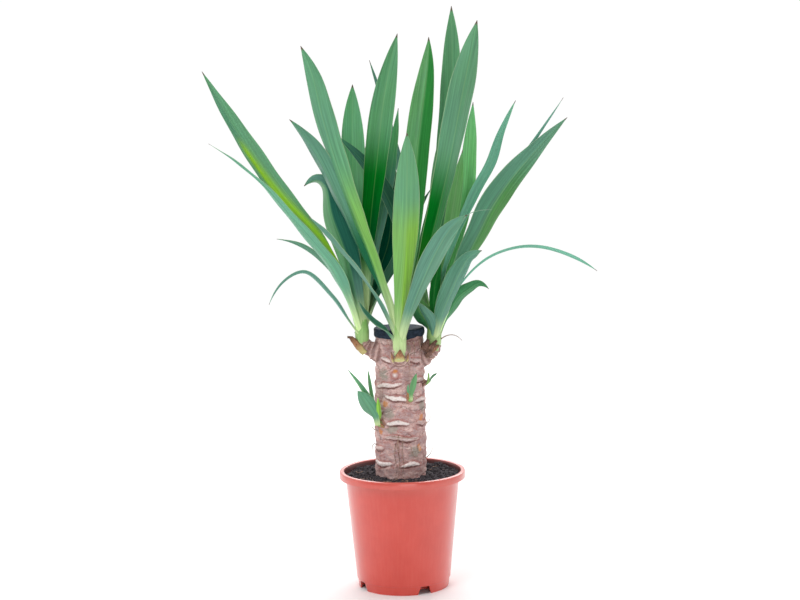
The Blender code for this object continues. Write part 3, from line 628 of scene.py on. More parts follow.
def leaf_material(name, outer, inner):
    """Fleshy leaf: waxy blue-green outside, yellower inside, fine parallel veins, pale base and edges, and
    painted shade in saturated green where the deep mask lies.
    """
    n = Nodes(name)
    along, side, inside = n.split(n.attribute("share").outputs["Vector"])
    blade = n.attribute("blade").outputs["Vector"]
    patch = n.attribute("patch")
    lime, deep, teal = n.add("SeparateColor", {0: patch.outputs["Color"]}).outputs
    tone = n.attribute("tone").outputs["Fac"]
    wide_veins = n.noise(n.place((0.55, 0.012, 1.0), blade), 1.0, 2.0, 0.5)
    fine_veins = n.noise(n.place((1.2, 0.02, 1.0), blade), 1.0, 1.0, 0.5)
    ridges = n.noise(n.place((0.4, 0.008, 1.0), blade), 1.0, 0.0)
    clouds = n.noise(n.place((0.06, 0.018, 1.0), blade), 1.0, 4.0, 0.6)
    colour = n.mix(n.calc("MULTIPLY", inside, 0.6), outer, inner)
    colour = n.mix(n.remap(clouds, 0.35, 0.7, 0.0, 0.5), colour, n.mix(0.5, colour, TEAL))
    colour = n.mix(teal, colour, TEAL)
    # Painted shade: the deep mask turns the leaf dark saturated green, or dark teal where the teal mask is
    # strong
    colour = n.mix(deep, colour, n.mix(teal, PAINTED_SHADE_GREEN, PAINTED_SHADE_TEAL))
    colour = n.mix(lime, colour, LIME)
    colour = n.mix(patch.outputs["Alpha"], colour, PALE_BASE)
    light = n.remap(wide_veins, 0.25, 0.75, 0.86, 1.14)
    light = n.calc("MULTIPLY", light, n.remap(fine_veins, 0.2, 0.8, 0.86, 1.14))
    # Painted light and shade: each leaf's tone brightens or darkens its whole colour
    light = n.calc("MULTIPLY", light, n.calc("ADD", tone, 1.0))
    light = n.add("CombineXYZ", {0: light, 1: light, 2: light}).outputs[0]
    colour = n.mix(1.0, colour, light, "MULTIPLY")
    rib = n.remap(n.calc("ABSOLUTE", side), 0.07, 0.0, 0.0, 0.22)
    colour = n.mix(rib, colour, RIB_COLOUR)
    edge = n.remap(n.calc("ABSOLUTE", side), 0.94, 1.0, 0.0, 0.55)
    colour = n.mix(edge, colour, EDGE_COLOUR)
    dry = n.remap(n.calc("ADD", along, n.calc("MULTIPLY", clouds, 0.01)), 0.985, 0.997)
    colour = n.mix(dry, colour, TIP_COLOUR)
    n.set(Base_Color=colour)
    n.set(Roughness=n.remap(clouds, 0.3, 0.7, 0.38, 0.52))
    # Less shine where the painted shade of the deep mask lies
    n.set(Specular_IOR_Level=n.calc("MULTIPLY_ADD", deep, -0.38, 0.4))
    n.bump(ridges, 0.35)
    return n.material


def blade_outline(t, leaf):
    """Half width at the share t of a leaf's length, as a part of its largest half width."""
    neck_end = min(0.12, leaf.widest / 2)
    if t < leaf.widest:
        return NECK_WIDTH + (1 - NECK_WIDTH) * ease((t - neck_end) / (leaf.widest - neck_end))
    return max(1 - ((t - leaf.widest) / (1 - leaf.widest)) ** leaf.fullness, 0.0)


def section(leaf, t, half, wave_phase):
    """Across and lift of a blade's middle surface at equal steps from the left edge to the right edge."""
    shares = np.linspace(-1, 1, BLADE_COLUMNS + 1)
    fold = math.radians(BLADE_FOLD + (ROOT_FOLD - BLADE_FOLD) * (1 - ease(t / 0.3)))
    roundness = 0.3 + 0.6 * (1 - ease(t / 0.35))
    middle = BLADE_COLUMNS // 2
    across = np.zeros(BLADE_COLUMNS + 1)
    lift = np.zeros(BLADE_COLUMNS + 1)
    step = half * 2 / BLADE_COLUMNS
    for sign, roll in ((-1, leaf.roll[0]), (1, leaf.roll[1])):
        rolled = math.radians(roll) * ease((t - 0.25) / 0.2) * ease((1 - t) / 0.2)
        x = z = 0.0
        for i in range(1, middle + 1):
            share = (i - 0.5) / middle
            angle = fold * 1.25 * min(share / roundness, 1.0) + 2 * rolled * ease((share - 0.45) / 0.4)
            x += step * math.cos(angle)
            z += step * math.sin(angle)
            across[middle + sign * i] = sign * x
            lift[middle + sign * i] = z
    wave = leaf.wave * ease(t / 0.3) * ease((1 - t) / 0.1)
    lift += wave * shares**2 * np.sin(wave_phase + np.where(shares < 0, 1.9, 0.0))
    return shares, across, lift - half * math.sin(fold) / 2


def band(t, mask):
    """Strength of a mask on the left and the right half at the share t of the length."""
    left, right, start, end = mask
    within = ease((t - start) / MASK_FADE + 0.5) * ease((end - t) / MASK_FADE + 0.5)
    return left * within, right * within


def streak_strength(t, shares, streak):
    """Strength of a streak at the share t of the length, at the given shares across."""
    start, start_share, end, end_share = streak
    line = start_share + (end_share - start_share) * (t - start) / (end - start)
    within = ease((t - start) / 0.08 + 0.5) * ease((end - t) / 0.08 + 0.5)
    return within * np.exp(-(((shares - line) / STREAK_HALF) ** 2))


def blade(leaf, root, number):
    """Points, faces and attributes of one closed blade."""
    path = smooth_path([root, *leaf.midrib], BLADE_STEPS)
    length = np.linalg.norm(np.diff(path, axis=0), axis=1).sum()
    tangents = np.gradient(path, axis=0)
    turn_root = leaf.azimuth - 90
    turn_middle, turn_tip = leaf.turns
    flip = math.copysign(1.0, math.cos(math.radians(turn_middle)))
    upper, lower, shares_out, blade_out, patch_out = [], [], [], [], []
    for i, (centre, tangent) in enumerate(zip(path, tangents)):
        t = i / BLADE_STEPS
        tangent = Vector(tangent).normalized()
        front = Vector((0, -1, 0))
        normal = (front - tangent * front.dot(tangent)).normalized()
        turn = turn_root + (turn_middle - turn_root) * ease(t / 0.5)
        turn += (turn_tip - turn_middle) * ease(2 * t - 1)
        turn += 3.0 * math.sin(5.1 * t + 1.7 * number) * ease(t / 0.3)
        normal = Matrix.Rotation(math.radians(turn), 3, tangent) @ normal
        side = normal.cross(tangent) * -1
        half = max(leaf.width / 2 * blade_outline(t, leaf), 0.22)
        phase = 2 * math.pi * t * length / WAVE_LENGTH + 2.3 * number
        shares, across, lift = section(leaf, t, half, phase)
        rib = EDGE_THICKNESS + (RIB_THICKNESS - EDGE_THICKNESS) * (1 - t)
        rib += (ROOT_THICKNESS - RIB_THICKNESS) * (1 - ease(t / 0.35))
        thick = EDGE_THICKNESS + (rib - EDGE_THICKNESS) * (1 - np.abs(shares)) ** 1.4
        thick = np.minimum(thick, 0.9 * half)
        base = np.array(centre) + np.outer(across, side) + np.outer(lift, normal)
        off = np.outer(thick / 2, normal)
        upper.append(base + off)
        lower.append(base - off)
        masks = [band(t, mask) for mask in (leaf.lime, leaf.deep, leaf.teal, leaf.pale)]
        right = soft_step(flip * shares / 0.16 + 0.5)
        patch = [left * (1 - right) + most * right for left, most in masks]
        if leaf.streak:
            patch[0] = np.maximum(patch[0], streak_strength(t, flip * shares, leaf.streak))
        patch_out.append(np.column_stack(patch))
        shares_out.append(np.column_stack([np.full(len(shares), t), shares]))
        blade_out.append(np.column_stack([shares * half, np.full(len(shares), t * length)]))
    count = (BLADE_STEPS + 1) * (BLADE_COLUMNS + 1)
    points = np.concatenate([np.concatenate(upper), np.concatenate(lower)])
    faces = shell_faces(BLADE_STEPS + 1, BLADE_COLUMNS + 1)
    shares_all = np.concatenate(shares_out)
    inside = np.concatenate([np.ones(count), np.zeros(count)])
    share = np.column_stack([np.tile(shares_all, (2, 1)), inside])
    blade_all = np.tile(np.concatenate(blade_out), (2, 1))
    place = np.column_stack([blade_all, np.full(2 * count, 37.0 * number)])
    patch = np.tile(np.concatenate(patch_out), (2, 1))
    tone = np.full(2 * count, leaf.tone)
    return points, faces, {"share": share, "blade": place, "patch": patch, "tone": tone}


def shoot_stem(name):
    """Base, axis, radius and surface of a shoot's own stem. A sprout's leaves the cane and turns up."""
    shares = np.linspace(0, 1, 14)
    if name in BRANCHES:
        _, seat, radius = BRANCHES[name]
        base = Vector(seat) + UP * GAP
        widths = (0.8, 0.86, 0.72, 0.45, STEM_TOP_RADIUS / radius)
        sizes = np.interp(shares, (0.0, 0.12, 0.35, 0.7, 1.0), widths)
        line = [base + UP * STEM_HEIGHT * share for share in shares]
        return base, UP, radius, tube(line, radius * sizes, 24)
    azimuth, z, radius = SPROUT_BUDS[name]
    axis = level(azimuth)
    base = axis * (BUD_REACH + GAP) + Vector((CANE_X, 0, z))
    bend = [base - axis * 2, base + axis * 0.3 * radius, base + axis * 0.7 * radius + UP * 1.2 * radius]
    line = smooth_path([*bend, bend[-1] + UP * 2.2 * radius], 13)
    sizes = np.interp(shares, (0.0, 0.3, 1.0), (0.75, 0.6, 0.2))
    return base, axis, radius, tube(line, radius * sizes, 24)


def sheet(path, halves, curls, facing, thickness, fray, seed):
    """Points, faces and shares along and across of a thin sheet that lies along a path, curled away from
    the direction that it faces, with a frayed end."""
    path = smooth_path(path, SHEET_STEPS)
    tangents = np.gradient(path, axis=0)
    shares = np.linspace(0, 1, SHEET_STEPS + 1)
    halves = np.interp(shares, np.linspace(0, 1, len(halves)), halves)
    curls = np.radians(np.interp(shares, np.linspace(0, 1, len(curls)), curls))
    columns = np.linspace(-1, 1, SHEET_COLUMNS + 1)
    outside, inside = [], []
    for i, (centre, tangent) in enumerate(zip(path, tangents)):
        tangent = Vector(tangent).normalized()
        normal = Vector(facing)
        normal = (normal - tangent * normal.dot(tangent)).normalized()
        across = tangent.cross(normal)
        angles = max(curls[i], 0.01) * columns
        reach = halves[i] / max(curls[i], 0.01)
        torn = [fray * ease(4 * shares[i] - 3) * noise.noise(Vector((3.1 * c, seed, 0))) for c in columns]
        base = centre + np.outer(reach * np.sin(angles), across) + np.outer(torn, tangent)
        base += np.outer(reach * (np.cos(angles) - 1), normal)
        off = np.outer(np.cos(angles), normal) + np.outer(np.sin(angles), across)
        outside.append(base + off * thickness / 2)
        inside.append(base - off * thickness / 2)
    points = np.concatenate(outside + inside)
    along = np.tile(np.repeat(shares, SHEET_COLUMNS + 1), 2)
    side = np.tile(columns, 2 * (SHEET_STEPS + 1))
    return points, shell_faces(SHEET_STEPS + 1, SHEET_COLUMNS + 1), along, side


def add_sheath(shoot, base, radius, paleness, azimuth, drop, height, out):
    """A pale leaf base that clasps the foot of a shoot."""
    outward = level(azimuth)
    path = [base - UP * drop + outward * radius * out, base + outward * radius * 0.92 + UP * 0.15 * height,
            base + outward * radius * 0.75 + UP * height]
    halves = (radius * 0.4, radius * 0.8, radius * 0.8, radius * 0.55, radius * 0.2)
    points, faces, along, side = sheet(path, halves, (58, 62, 50, 30), outward, 0.7, 1.0, azimuth)
    count = len(points)
    pale = paleness * (1 - 0.75 * soft_step((along - 0.3) / 0.6))
    patch = np.column_stack([np.full(count, 0.45), np.zeros(count), np.zeros(count), pale])
    place = np.column_stack([side * radius, along * height, np.full(count, azimuth)])
    share = np.column_stack([0.3 * along, 0.8 * side, np.zeros(count)])
    shoot.add(points, faces, share=share, blade=place, patch=patch, tone=np.zeros(count))


def make_shoot(name, piece_name, material):
    """One shoot or sprout: its stem, the leaf bases that clasp it, its leaves and what hangs on them."""
    base, axis, radius, (points, faces) = shoot_stem(name)
    shoot = Pieces()
    count = len(points)
    green = [0.2, 0.0, 0.0, STEM_PALE[name]] if name in BRANCHES else [0.5, 0.0, 0.0, 0.2]
    shoot.add(
        points, faces, share=np.zeros((count, 3)), blade=points, patch=np.tile(green, (count, 1)),
        tone=np.zeros(count),
    )
    for sheath in SHEATHS.get(name, ()):
        add_sheath(shoot, base, radius, STEM_PALE[name], *sheath)
    root_share = SHOOT_ROOT_SHARE if name in BRANCHES else SPROUT_ROOT_SHARE
    for number, leaf in enumerate(LEAVES[name]):
        root = base + axis * (leaf.rise + 1.5) + level(leaf.azimuth) * radius * root_share
        points, faces, attributes = blade(leaf, root, number)
        shoot.add(points, faces, **attributes)
    for line, thickness in FILAMENTS.get(name, ()):
        line = smooth_path(line, 16)
        points, faces = tube(line, np.linspace(thickness, 0.3 * thickness, len(line)), 6)
        count = len(points)
        share = np.tile([0.5, 0.5, 0.0], (count, 1))
        patch = np.tile([0.0, 0.0, 1.0, 0.2], (count, 1))
        shoot.add(points, faces, share=share, blade=points, patch=patch, tone=np.zeros(count))
    obj = shoot.build(piece_name, 75.0)
    obj.data.materials.append(material)
    return obj


def make_camera():
    """A camera at the place and with the tilt that the photograph shows."""
    data = bpy.data.cameras.new("camera")
    data.sensor_width = SENSOR_WIDTH
    data.lens = SENSOR_WIDTH * FOCAL_PIXELS / PHOTO_WIDTH
    data.clip_end = 20.0
    camera = bpy.data.objects.new("camera", data)
    SCENE.collection.objects.link(camera)
    pitch = Matrix.Rotation(math.radians(90 - CAMERA_PITCH), 4, "X")
    roll = Matrix.Rotation(-math.radians(CAMERA_ROLL), 4, "Z")
    camera.matrix_world = Matrix.Translation(CAMERA_PLACE) @ pitch @ roll
    SCENE.camera = camera


def make_light(name, place, target, size, power):
    """A square area light that faces its target."""
    data = bpy.data.lights.new(name, "AREA")
    data.size = size
    data.energy = power
    light = bpy.data.objects.new(name, data)
    SCENE.collection.objects.link(light)
    light.location = place
    light.rotation_euler = (Vector(target) - Vector(place)).to_track_quat("-Z", "Y").to_euler()


def make_world():
    """White behind the plant, dimmer on the camera's side, so that round things have pale edges."""
    world = bpy.data.worlds.new("studio")
    world.use_nodes = True
    nodes, links = world.node_tree.nodes, world.node_tree.links
    place = nodes.new("ShaderNodeTexCoord")
    split = nodes.new("ShaderNodeSeparateXYZ")
    strength = nodes.new("ShaderNodeMapRange")
    links.new(place.outputs["Generated"], split.inputs[0])
    links.new(split.outputs["Y"], strength.inputs[0])
    links.new(strength.outputs[0], nodes["Background"].inputs["Strength"])
    values = (WORLD_FRONT_Y, WORLD_BACK_Y, WORLD_FRONT, WORLD_BACK)
    for index, value in enumerate(values, start=1):
        strength.inputs[index].default_value = value
    nodes["Background"].inputs["Color"].default_value = (1.0, 1.0, 1.0, 1.0)
    SCENE.world = world


def make_studio():
    """A pale floor and soft light from all round."""
    make_world()
    SCENE.view_settings.view_transform = "Standard"
    for light in LIGHTS:
        make_light(*light)
    angles = np.linspace(0, 2 * math.pi, FLOOR_SIDES + 1)[:-1]
    points = [(FLOOR_RADIUS * math.cos(a), FLOOR_RADIUS * math.sin(a), 0) for a in angles]
    floor = make_object("floor", points, [tuple(range(FLOOR_SIDES))])
    n = Nodes("floor")
    n.set(Base_Color=(0.94, 0.94, 0.94), Roughness=0.8, Specular_IOR_Level=0.2)
    floor.data.materials.append(n.material)


def pot_profile():
    """Outer side down, underside inwards, floor outwards and inner side up."""
    lip_bottom = POT_HEIGHT - LIP_DROP
    under = POT_HEIGHT - POT_WALL
    floor = CHANNEL_Z + POT_WALL
    skirt = FOOT_BOTTOM_RADIUS - POT_WALL
    return [
        (LIP_INNER_RADIUS + 1.2, POT_HEIGHT),
        (LIP_RADIUS - 1.4, POT_HEIGHT),
        (LIP_RADIUS - 0.4, POT_HEIGHT - 0.5),
        (LIP_RADIUS, POT_HEIGHT - 1.6),
        (LIP_RADIUS, lip_bottom),
        (LIP_RADIUS - POT_WALL, lip_bottom),
        (LIP_RADIUS - POT_WALL, under - 0.8),
        (LIP_INNER_RADIUS + POT_WALL, under - 0.8),
        (BODY_TOP_RADIUS, BODY_TOP_Z),
        (BODY_FOOT_RADIUS, FOOT_HEIGHT),
        (BODY_FOOT_RADIUS - FOOT_STEP, FOOT_HEIGHT - 0.5),
        (FOOT_BOTTOM_RADIUS, 0.0),
        (skirt, 0.0),
        (skirt, CHANNEL_Z),
        (PAD_RADIUS + 3.0, CHANNEL_Z),
        (PAD_RADIUS, 0.0),
        (0.0, 0.0),
        (0.0, PAD_THICKNESS),
        (PAD_RADIUS - 1.0, PAD_THICKNESS),
        (PAD_RADIUS + 2.2, floor),
        (skirt - 0.6, floor),
        (BODY_FOOT_RADIUS - FOOT_STEP - POT_WALL, FOOT_HEIGHT),
        (BODY_TOP_RADIUS - POT_WALL, BODY_TOP_Z),
        (LIP_INNER_RADIUS, under - 1.0),
        (LIP_INNER_RADIUS + 0.3, POT_HEIGHT - 0.5),
    ]


def turned(name, profile, sides):
    """A closed profile of (radius, height) points turned about Z. Points on the axis are shared."""
    points = []
    index = {}
    for i in range(sides):
        angle = 2 * math.pi * i / sides
        for j, (r, z) in enumerate(profile):
            if r == 0 and i > 0:
                index[i, j] = index[0, j]
                continue
            index[i, j] = len(points)
            points.append((r * math.cos(angle), r * math.sin(angle), z))
    faces = []
    for i in range(sides):
        for j in range(len(profile)):
            k, there = (j + 1) % len(profile), (i + 1) % sides
            corners = dict.fromkeys((index[i, j], index[i, k], index[there, k], index[there, j]))
            if len(corners) > 2:
                faces.append(tuple(corners)[::-1])
    return make_object(name, points, faces, smooth_angle=35.0)


def apply_modifiers(obj):
    """Replaces the object's mesh by what its modifiers make of it."""
    graph = bpy.context.evaluated_depsgraph_get()
    mesh = bpy.data.meshes.new_from_object(obj.evaluated_get(graph))
    obj.modifiers.clear()
    obj.data = mesh


def notch_cutter(azimuth):
    """A bar through the foot ring, in the shape of a drain notch."""
    half, top = NOTCH_WIDTH / 2, NOTCH_TOP_WIDTH / 2
    outline = [(-half, -1.0), (half, -1.0), (half, 0.0)]
    outline += [(top, NOTCH_HEIGHT), (-top, NOTCH_HEIGHT), (-half, 0.0)]
    c, s = math.cos(math.radians(azimuth)), math.sin(math.radians(azimuth))
    points = []
    for reach in (PAD_RADIUS + 9.0, LIP_RADIUS):
        points += [(c * reach - s * across, s * reach + c * across, z) for across, z in outline]
    return make_object("notch", points, tube_faces(2, len(outline)))


def make_pot():
    """The turned shell with drain notches cut in its foot ring and its edges rounded."""
    pot = turned("pot_shell", pot_profile(), POT_SIDES)
    for azimuth in NOTCH_AZIMUTHS:
        cutter = notch_cutter(azimuth)
        modifier = pot.modifiers.new("cut", "BOOLEAN")
        modifier.operation = "DIFFERENCE"
        modifier.object = cutter
        apply_modifiers(pot)
        bpy.data.objects.remove(cutter)
    bevel = pot.modifiers.new("rounding", "BEVEL")
    bevel.width = POT_ROUNDING * MM
    bevel.segments = 2
    bevel.limit_method = "ANGLE"
    bevel.angle_limit = math.radians(32)
    apply_modifiers(pot)
    pot.data.shade_smooth()
    pot.data.set_sharp_from_angle(angle=math.radians(50))
    pot.data.materials.clear()
    pot.data.materials.append(pot_material())
    return pot


def pot_material():
    """Satin moulded plastic: a little cloudy, faint upright streaks, scuffs and dust at the lip, and
    painted shade on the inner wall just above the soil.
    """
    n = Nodes("pot_plastic")
    place = n.place()
    clouds = n.noise(n.place((0.03, 0.03, 0.03)), 1.0, 4.0, 0.6)
    streaks = n.noise(n.place((0.5, 0.5, 0.02)), 1.0, 3.0, 0.6)
    grain = n.noise(place, 2.2, 2.0, 0.6)
    scuffs = n.remap(n.noise(n.place((0.12, 0.12, 0.7)), 1.0, 6.0, 0.75), 0.62, 0.78)
    height = n.split(place)[2]
    dust = n.calc("MULTIPLY", n.remap(height, 92.0, 112.0, 0.0, 0.3), clouds)
    colour = n.mix(n.remap(clouds, 0.3, 0.7), POT_DARK, POT_LIGHT)
    colour = n.mix(n.remap(streaks, 0.35, 0.75, 0.0, 0.1), colour, POT_STREAK)
    colour = n.mix(n.calc("MULTIPLY", scuffs, 0.06), colour, POT_SCUFF)
    colour = n.mix(dust, colour, POT_DUST)
    x, y, _ = n.split(place)
    reach = n.calc("SQRT", n.calc("MULTIPLY_ADD", x, x, n.calc("MULTIPLY", y, y)))
    # Painted shade: the inner wall darkens just above the soil, and loses its coat there
    inner_wall_shade = n.remap(reach, LIP_INNER_RADIUS + 0.7, LIP_INNER_RADIUS - 0.2, 0.0, 0.9)
    inner_wall_shade = n.calc("MULTIPLY", inner_wall_shade, n.remap(height, SOIL_Z - 2.5, SOIL_Z - 1.5))
    colour = n.mix(inner_wall_shade, colour, POT_INNER_SHADE)
    n.set(Base_Color=colour, Specular_IOR_Level=0.5, Coat_IOR=1.6)
    n.set(Coat_Weight=n.calc("MULTIPLY_ADD", inner_wall_shade, -0.7, 0.7))
    n.set(Coat_Roughness=n.remap(clouds, 0.3, 0.7, 0.14, 0.2))
    n.set(Roughness=n.remap(clouds, 0.3, 0.7, 0.3, 0.38))
    n.bump(grain, 0.02)
    return n.material


def inner_radius(z):
    """Radius of the pot's inner wall at a height near its top."""
    top = POT_HEIGHT - POT_WALL - 1.0
    share = (z - BODY_TOP_Z) / (top - BODY_TOP_Z)
    return BODY_TOP_RADIUS - POT_WALL + (LIP_INNER_RADIUS - BODY_TOP_RADIUS + POT_WALL) * share


def fractal(x, y, z, octaves=3):
    """Sum of noises, each half as large and half as strong as the one before."""
    total, size = 0.0, 1.0
    for _ in range(octaves):
        total += size * noise.noise(Vector((x, y, z)))
        x, y, z, size = 2 * x + 5.2, 2 * y + 1.3, 2 * z + 7.7, size / 2
    return total


def soil_height(x, y):
    """Height of the loose peat: heaped a little towards the back right, clods and crumbs on it."""
    r = math.hypot(x, y)
    heap = 0.9 * (x + y) / 76 - 0.5
    clods = 1.5 * fractal(x / 8, y / 8, 2.0) + 0.9 * fractal(x / 2.4, y / 2.4, 6.0, 2)
    rim = -1.2 * ease((r - 51) / 3.5)
    collar = 0.8 * (1 - ease((math.hypot(x - CANE_X, y) - CANE_RADIUS) / 5))
    return SOIL_Z + heap + clods + rim + collar


def make_soil():
    """The peat's surface, with a skirt down the pot's wall and the cane."""
    points = []
    shade = []
    inner, outer = CANE_RADIUS - 1.5, inner_radius(SOIL_Z) - 0.15
    for i in range(SOIL_RINGS + 1):
        share = i / SOIL_RINGS
        for j in range(SOIL_SIDES):
            angle = 2 * math.pi * j / SOIL_SIDES
            r = inner + (outer - inner) * share
            x = r * math.cos(angle) + CANE_X * (1 - share)
            y = r * math.sin(angle)
            z = soil_height(x, y)
            points.append((x, y, z))
            shade.append(fractal(x / 2.0, y / 2.0, 9.0, 2))
    faces = grid_faces(SOIL_RINGS + 1, SOIL_SIDES, closed=True)
    first = len(points)
    wall = inner_radius(BODY_TOP_Z) - 0.3
    skirt = ((wall, BODY_TOP_Z, 0.0), (wall - 0.6, CANE_FOOT_Z, 0.0), (inner, CANE_FOOT_Z, CANE_X))
    for r, z, centre in skirt:
        for j in range(SOIL_SIDES):
            angle = 2 * math.pi * j / SOIL_SIDES
            points.append((r * math.cos(angle) + centre, r * math.sin(angle), z))
            shade.append(0.0)
    rims = (SOIL_RINGS * SOIL_SIDES, first, first + SOIL_SIDES, first + 2 * SOIL_SIDES, 0)
    for a, b in zip(rims, rims[1:]):
        for j in range(SOIL_SIDES):
            k = (j + 1) % SOIL_SIDES
            faces.append((a + j, a + k, b + k, b + j))
    soil = make_object("soil_bed", points, faces, {"shade": shade})
    soil.data.materials.append(soil_material("peat"))
    return soil


def soil_material(name):
    """Damp black peat with browner crumbs and specks."""
    n = Nodes(name)
    crumbs = n.noise(n.place(), 0.9, 5.0, 0.7)
    specks = n.noise(n.place(), 3.4, 2.0, 0.5)
    colour = n.mix(n.remap(crumbs, 0.4, 0.68), PEAT_DARK, PEAT_LIGHT)
    colour = n.mix(n.remap(specks, 0.66, 0.72, 0.0, 0.6), colour, PEAT_SPECK)
    n.set(Base_Color=colour, Roughness=n.remap(crumbs, 0.3, 0.7, 0.75, 0.95), Specular_IOR_Level=0.25)
    n.bump(crumbs, 0.8)
    return n.material


def crumb(pieces, centre, size, random):
    """An angular crumb of peat."""
    golden = (1 + 5**0.5) / 2
    corners = [(0, a, b * golden) for a in (-1, 1) for b in (-1, 1)]
    corners += [(a, b * golden, 0) for a in (-1, 1) for b in (-1, 1)]
    corners += [(b * golden, 0, a) for a in (-1, 1) for b in (-1, 1)]
    shape = bmesh.new()
    for corner in corners:
        shape.verts.new(Vector(corner).normalized())
    bmesh.ops.convex_hull(shape, input=shape.verts)
    bmesh.ops.subdivide_edges(shape, edges=shape.edges, cuts=1, use_grid_fill=True)
    shape.verts.index_update()
    seed = random.uniform(0, 100)
    stretch = random.uniform(0.6, 1.3, 3)
    points = []
    for vertex in shape.verts:
        direction = vertex.co.normalized()
        reach = size * (1 + 0.45 * noise.noise(direction * 1.6 + Vector((seed, 0, 0))))
        points.append([c * reach * s + o for c, s, o in zip(direction, stretch, centre)])
    pieces.add(points, [tuple(v.index for v in face.verts) for face in shape.faces])
    shape.free()


def make_crumbs():
    """Loose crumbs strewn on the peat."""
    random = np.random.default_rng(CRUMB_SEED)
    pieces = Pieces()
    for _ in range(CRUMB_COUNT):
        r = math.sqrt(random.uniform((CANE_RADIUS + 1.5) ** 2, CRUMB_REACH**2))
        angle = random.uniform(0, 2 * math.pi)
        x, y = r * math.cos(angle), r * math.sin(angle)
        size = random.uniform(0.5, 1.0) * (2.2 if random.uniform() < 0.12 else 1.1)
        crumb(pieces, (x, y, soil_height(x, y) + 0.25 * size), size, random)
    obj = pieces.build("soil_crumbs", 40.0)
    obj.data.materials.append(soil_material("peat_crumbs"))
    return obj


def field(x, y, z, sizes, octaves=3):
    """Noise of features of the given sizes at many points."""
    wide, deep, high = sizes
    return np.array([fractal(a / wide, b / deep, c / high, octaves) for a, b, c in zip(x, y, z)])


def all_scars():
    """The scars on the side that shows, then seeded ones round the back."""
    random = np.random.default_rng(SCAR_SEED)
    rows = list(FRONT_SCARS)
    turn, z = 120.0, 113.0
    while z < CANE_TOP_Z - 12:
        half, slant, pale = random.uniform(30, 56), random.uniform(-4, 4), random.uniform(0.3, 1.0)
        rows.append((turn, z, half, slant, pale))
        turn = 105 + (turn - 105 + random.uniform(70, 100)) % 150
        z += BACK_SCAR_PITCH * random.uniform(0.35, 0.65)
    return rows


def around(degrees):
    """The same angle between -180 and 180."""
    return (degrees + 180) % 360 - 180


def patches(rows, turn, z, ragged):
    """How much of each point lies in one of the ragged patches."""
    total = np.zeros(len(turn))
    for azimuth, height, wide, high in rows:
        apart = np.hypot(around(turn - azimuth) / wide, (z - height) / high) + 0.5 * ragged
        total = np.maximum(total, 1 - soft_step((apart - 0.55) / 0.6))
    return total


def cane_skin():
    """Points, faces and marks of the cane above the soil: scars, cracks, patches and painted shade in the
    crevices.
    """
    degrees = np.linspace(-180, 180, CANE_SIDES, endpoint=False)
    heights = np.linspace(CANE_FOOT_Z, CANE_TOP_Z, CANE_RINGS)
    turn, z = (grid.ravel() for grid in np.meshgrid(degrees, heights))
    angle = np.radians(turn + 270)
    plain = CANE_RADIUS + (CANE_TOP_RADIUS - CANE_RADIUS) * soft_step((z - 150) / (CANE_TOP_Z - 150))
    x, y = plain * np.cos(angle), plain * np.sin(angle)
    coarse = field(x, y, z, (12.0, 12.0, 9.0))
    fine = field(x, y, z, (2.8, 2.8, 1.5))
    fibres = field(x, y, z, (1.5, 1.5, 9.0), 2)
    phase = (z - RING_START) / RING_PITCH + 0.16 * np.sin(2 * angle + 0.7)
    phase = phase + 0.10 * np.sin(5 * angle) + 0.3 * coarse
    saw = phase - np.floor(phase)
    relief = 0.8 * coarse + 0.2 * fine + 0.16 * fibres + 0.9 * (saw**1.5 - 0.45)
    pale = 0.35 * soft_step((saw - 0.84) / 0.1) * soft_step(1.2 * fine + 0.4)
    # Painted shade in the crevice at the foot of each ring step
    crevice_shade = 0.6 * np.exp(-((saw / 0.05) ** 2)) * soft_step(1.5 * fine + 0.8)
    red = 0.8 * soft_step((saw - 0.7) / 0.25) * soft_step(1.5 * coarse + 0.6)
    for number, (azimuth, height, half, slant, light) in enumerate(all_scars()):
        u = around(turn - azimuth) / half
        inside = np.clip(1 - u**2, 0, 1)
        size = inside**0.5
        wobble = 0.7 * np.sin(0.11 * turn + number) + 0.7 * fine
        away = z - height - slant * around(turn - azimuth) / 90 - wobble
        thick = 1.75 * inside + 0.2
        relief += size * (0.9 * np.exp(-((away / 1.5) ** 2)) - 0.8 * np.exp(-(((away + 2.7) / 1.0) ** 2)))
        relief -= 0.35 * size * np.exp(-(((away - 2.6) / 1.0) ** 2))
        band_here = soft_step((thick + 0.5 - np.abs(away)) / 0.8) * (inside > 0)
        pale = np.maximum(pale, light * band_here * soft_step(2.2 * inside))
        # Painted shade in the crevice under each scar's lip
        crevice_shade = np.maximum(crevice_shade, size * np.exp(-(((away + thick + 1.1) / 0.8) ** 2)))
        red = np.maximum(red, size * np.exp(-(((np.abs(away) - thick - 0.8) / 1.1) ** 2)))
    bud_turn, bud_height = BUD_SCAR
    away = np.hypot(np.radians(around(turn - bud_turn)) * plain, z - bud_height)
    relief += 1.3 * np.exp(-((away / 2.2) ** 2)) - 0.8 * np.exp(-(((away - 4.2) / 1.2) ** 2))
    pale = np.maximum(pale, 0.8 * np.exp(-((away / 1.7) ** 2)))
    red = np.maximum(red, np.exp(-(((away - 3.6) / 1.8) ** 2)))
    fade = soft_step((z - 103) / 5) * soft_step((CANE_TOP_Z - WAX_SKIRT - 1 - z) / 5)
    radius = plain + fade * relief
    points = np.column_stack([CANE_X + radius * np.cos(angle), radius * np.sin(angle), z])
    orange = patches(ORANGE_PATCHES, turn, z, fine)
    grey = patches(GREY_PATCHES, turn, z, fine)
    top = soft_step((z - 222) / 16) * soft_step((around(turn - 50) + 75) / 50)
    top = top * soft_step((140 - turn) / 60)
    top = np.maximum(0.75 * top, 0.4 * soft_step((z - 236) / 6))
    faces = tube_faces(CANE_RINGS, CANE_SIDES)
    ones = np.ones(len(points))
    marks = np.column_stack([pale, crevice_shade, red, ones])
    return points, faces, marks, np.column_stack([orange, grey, top, ones])


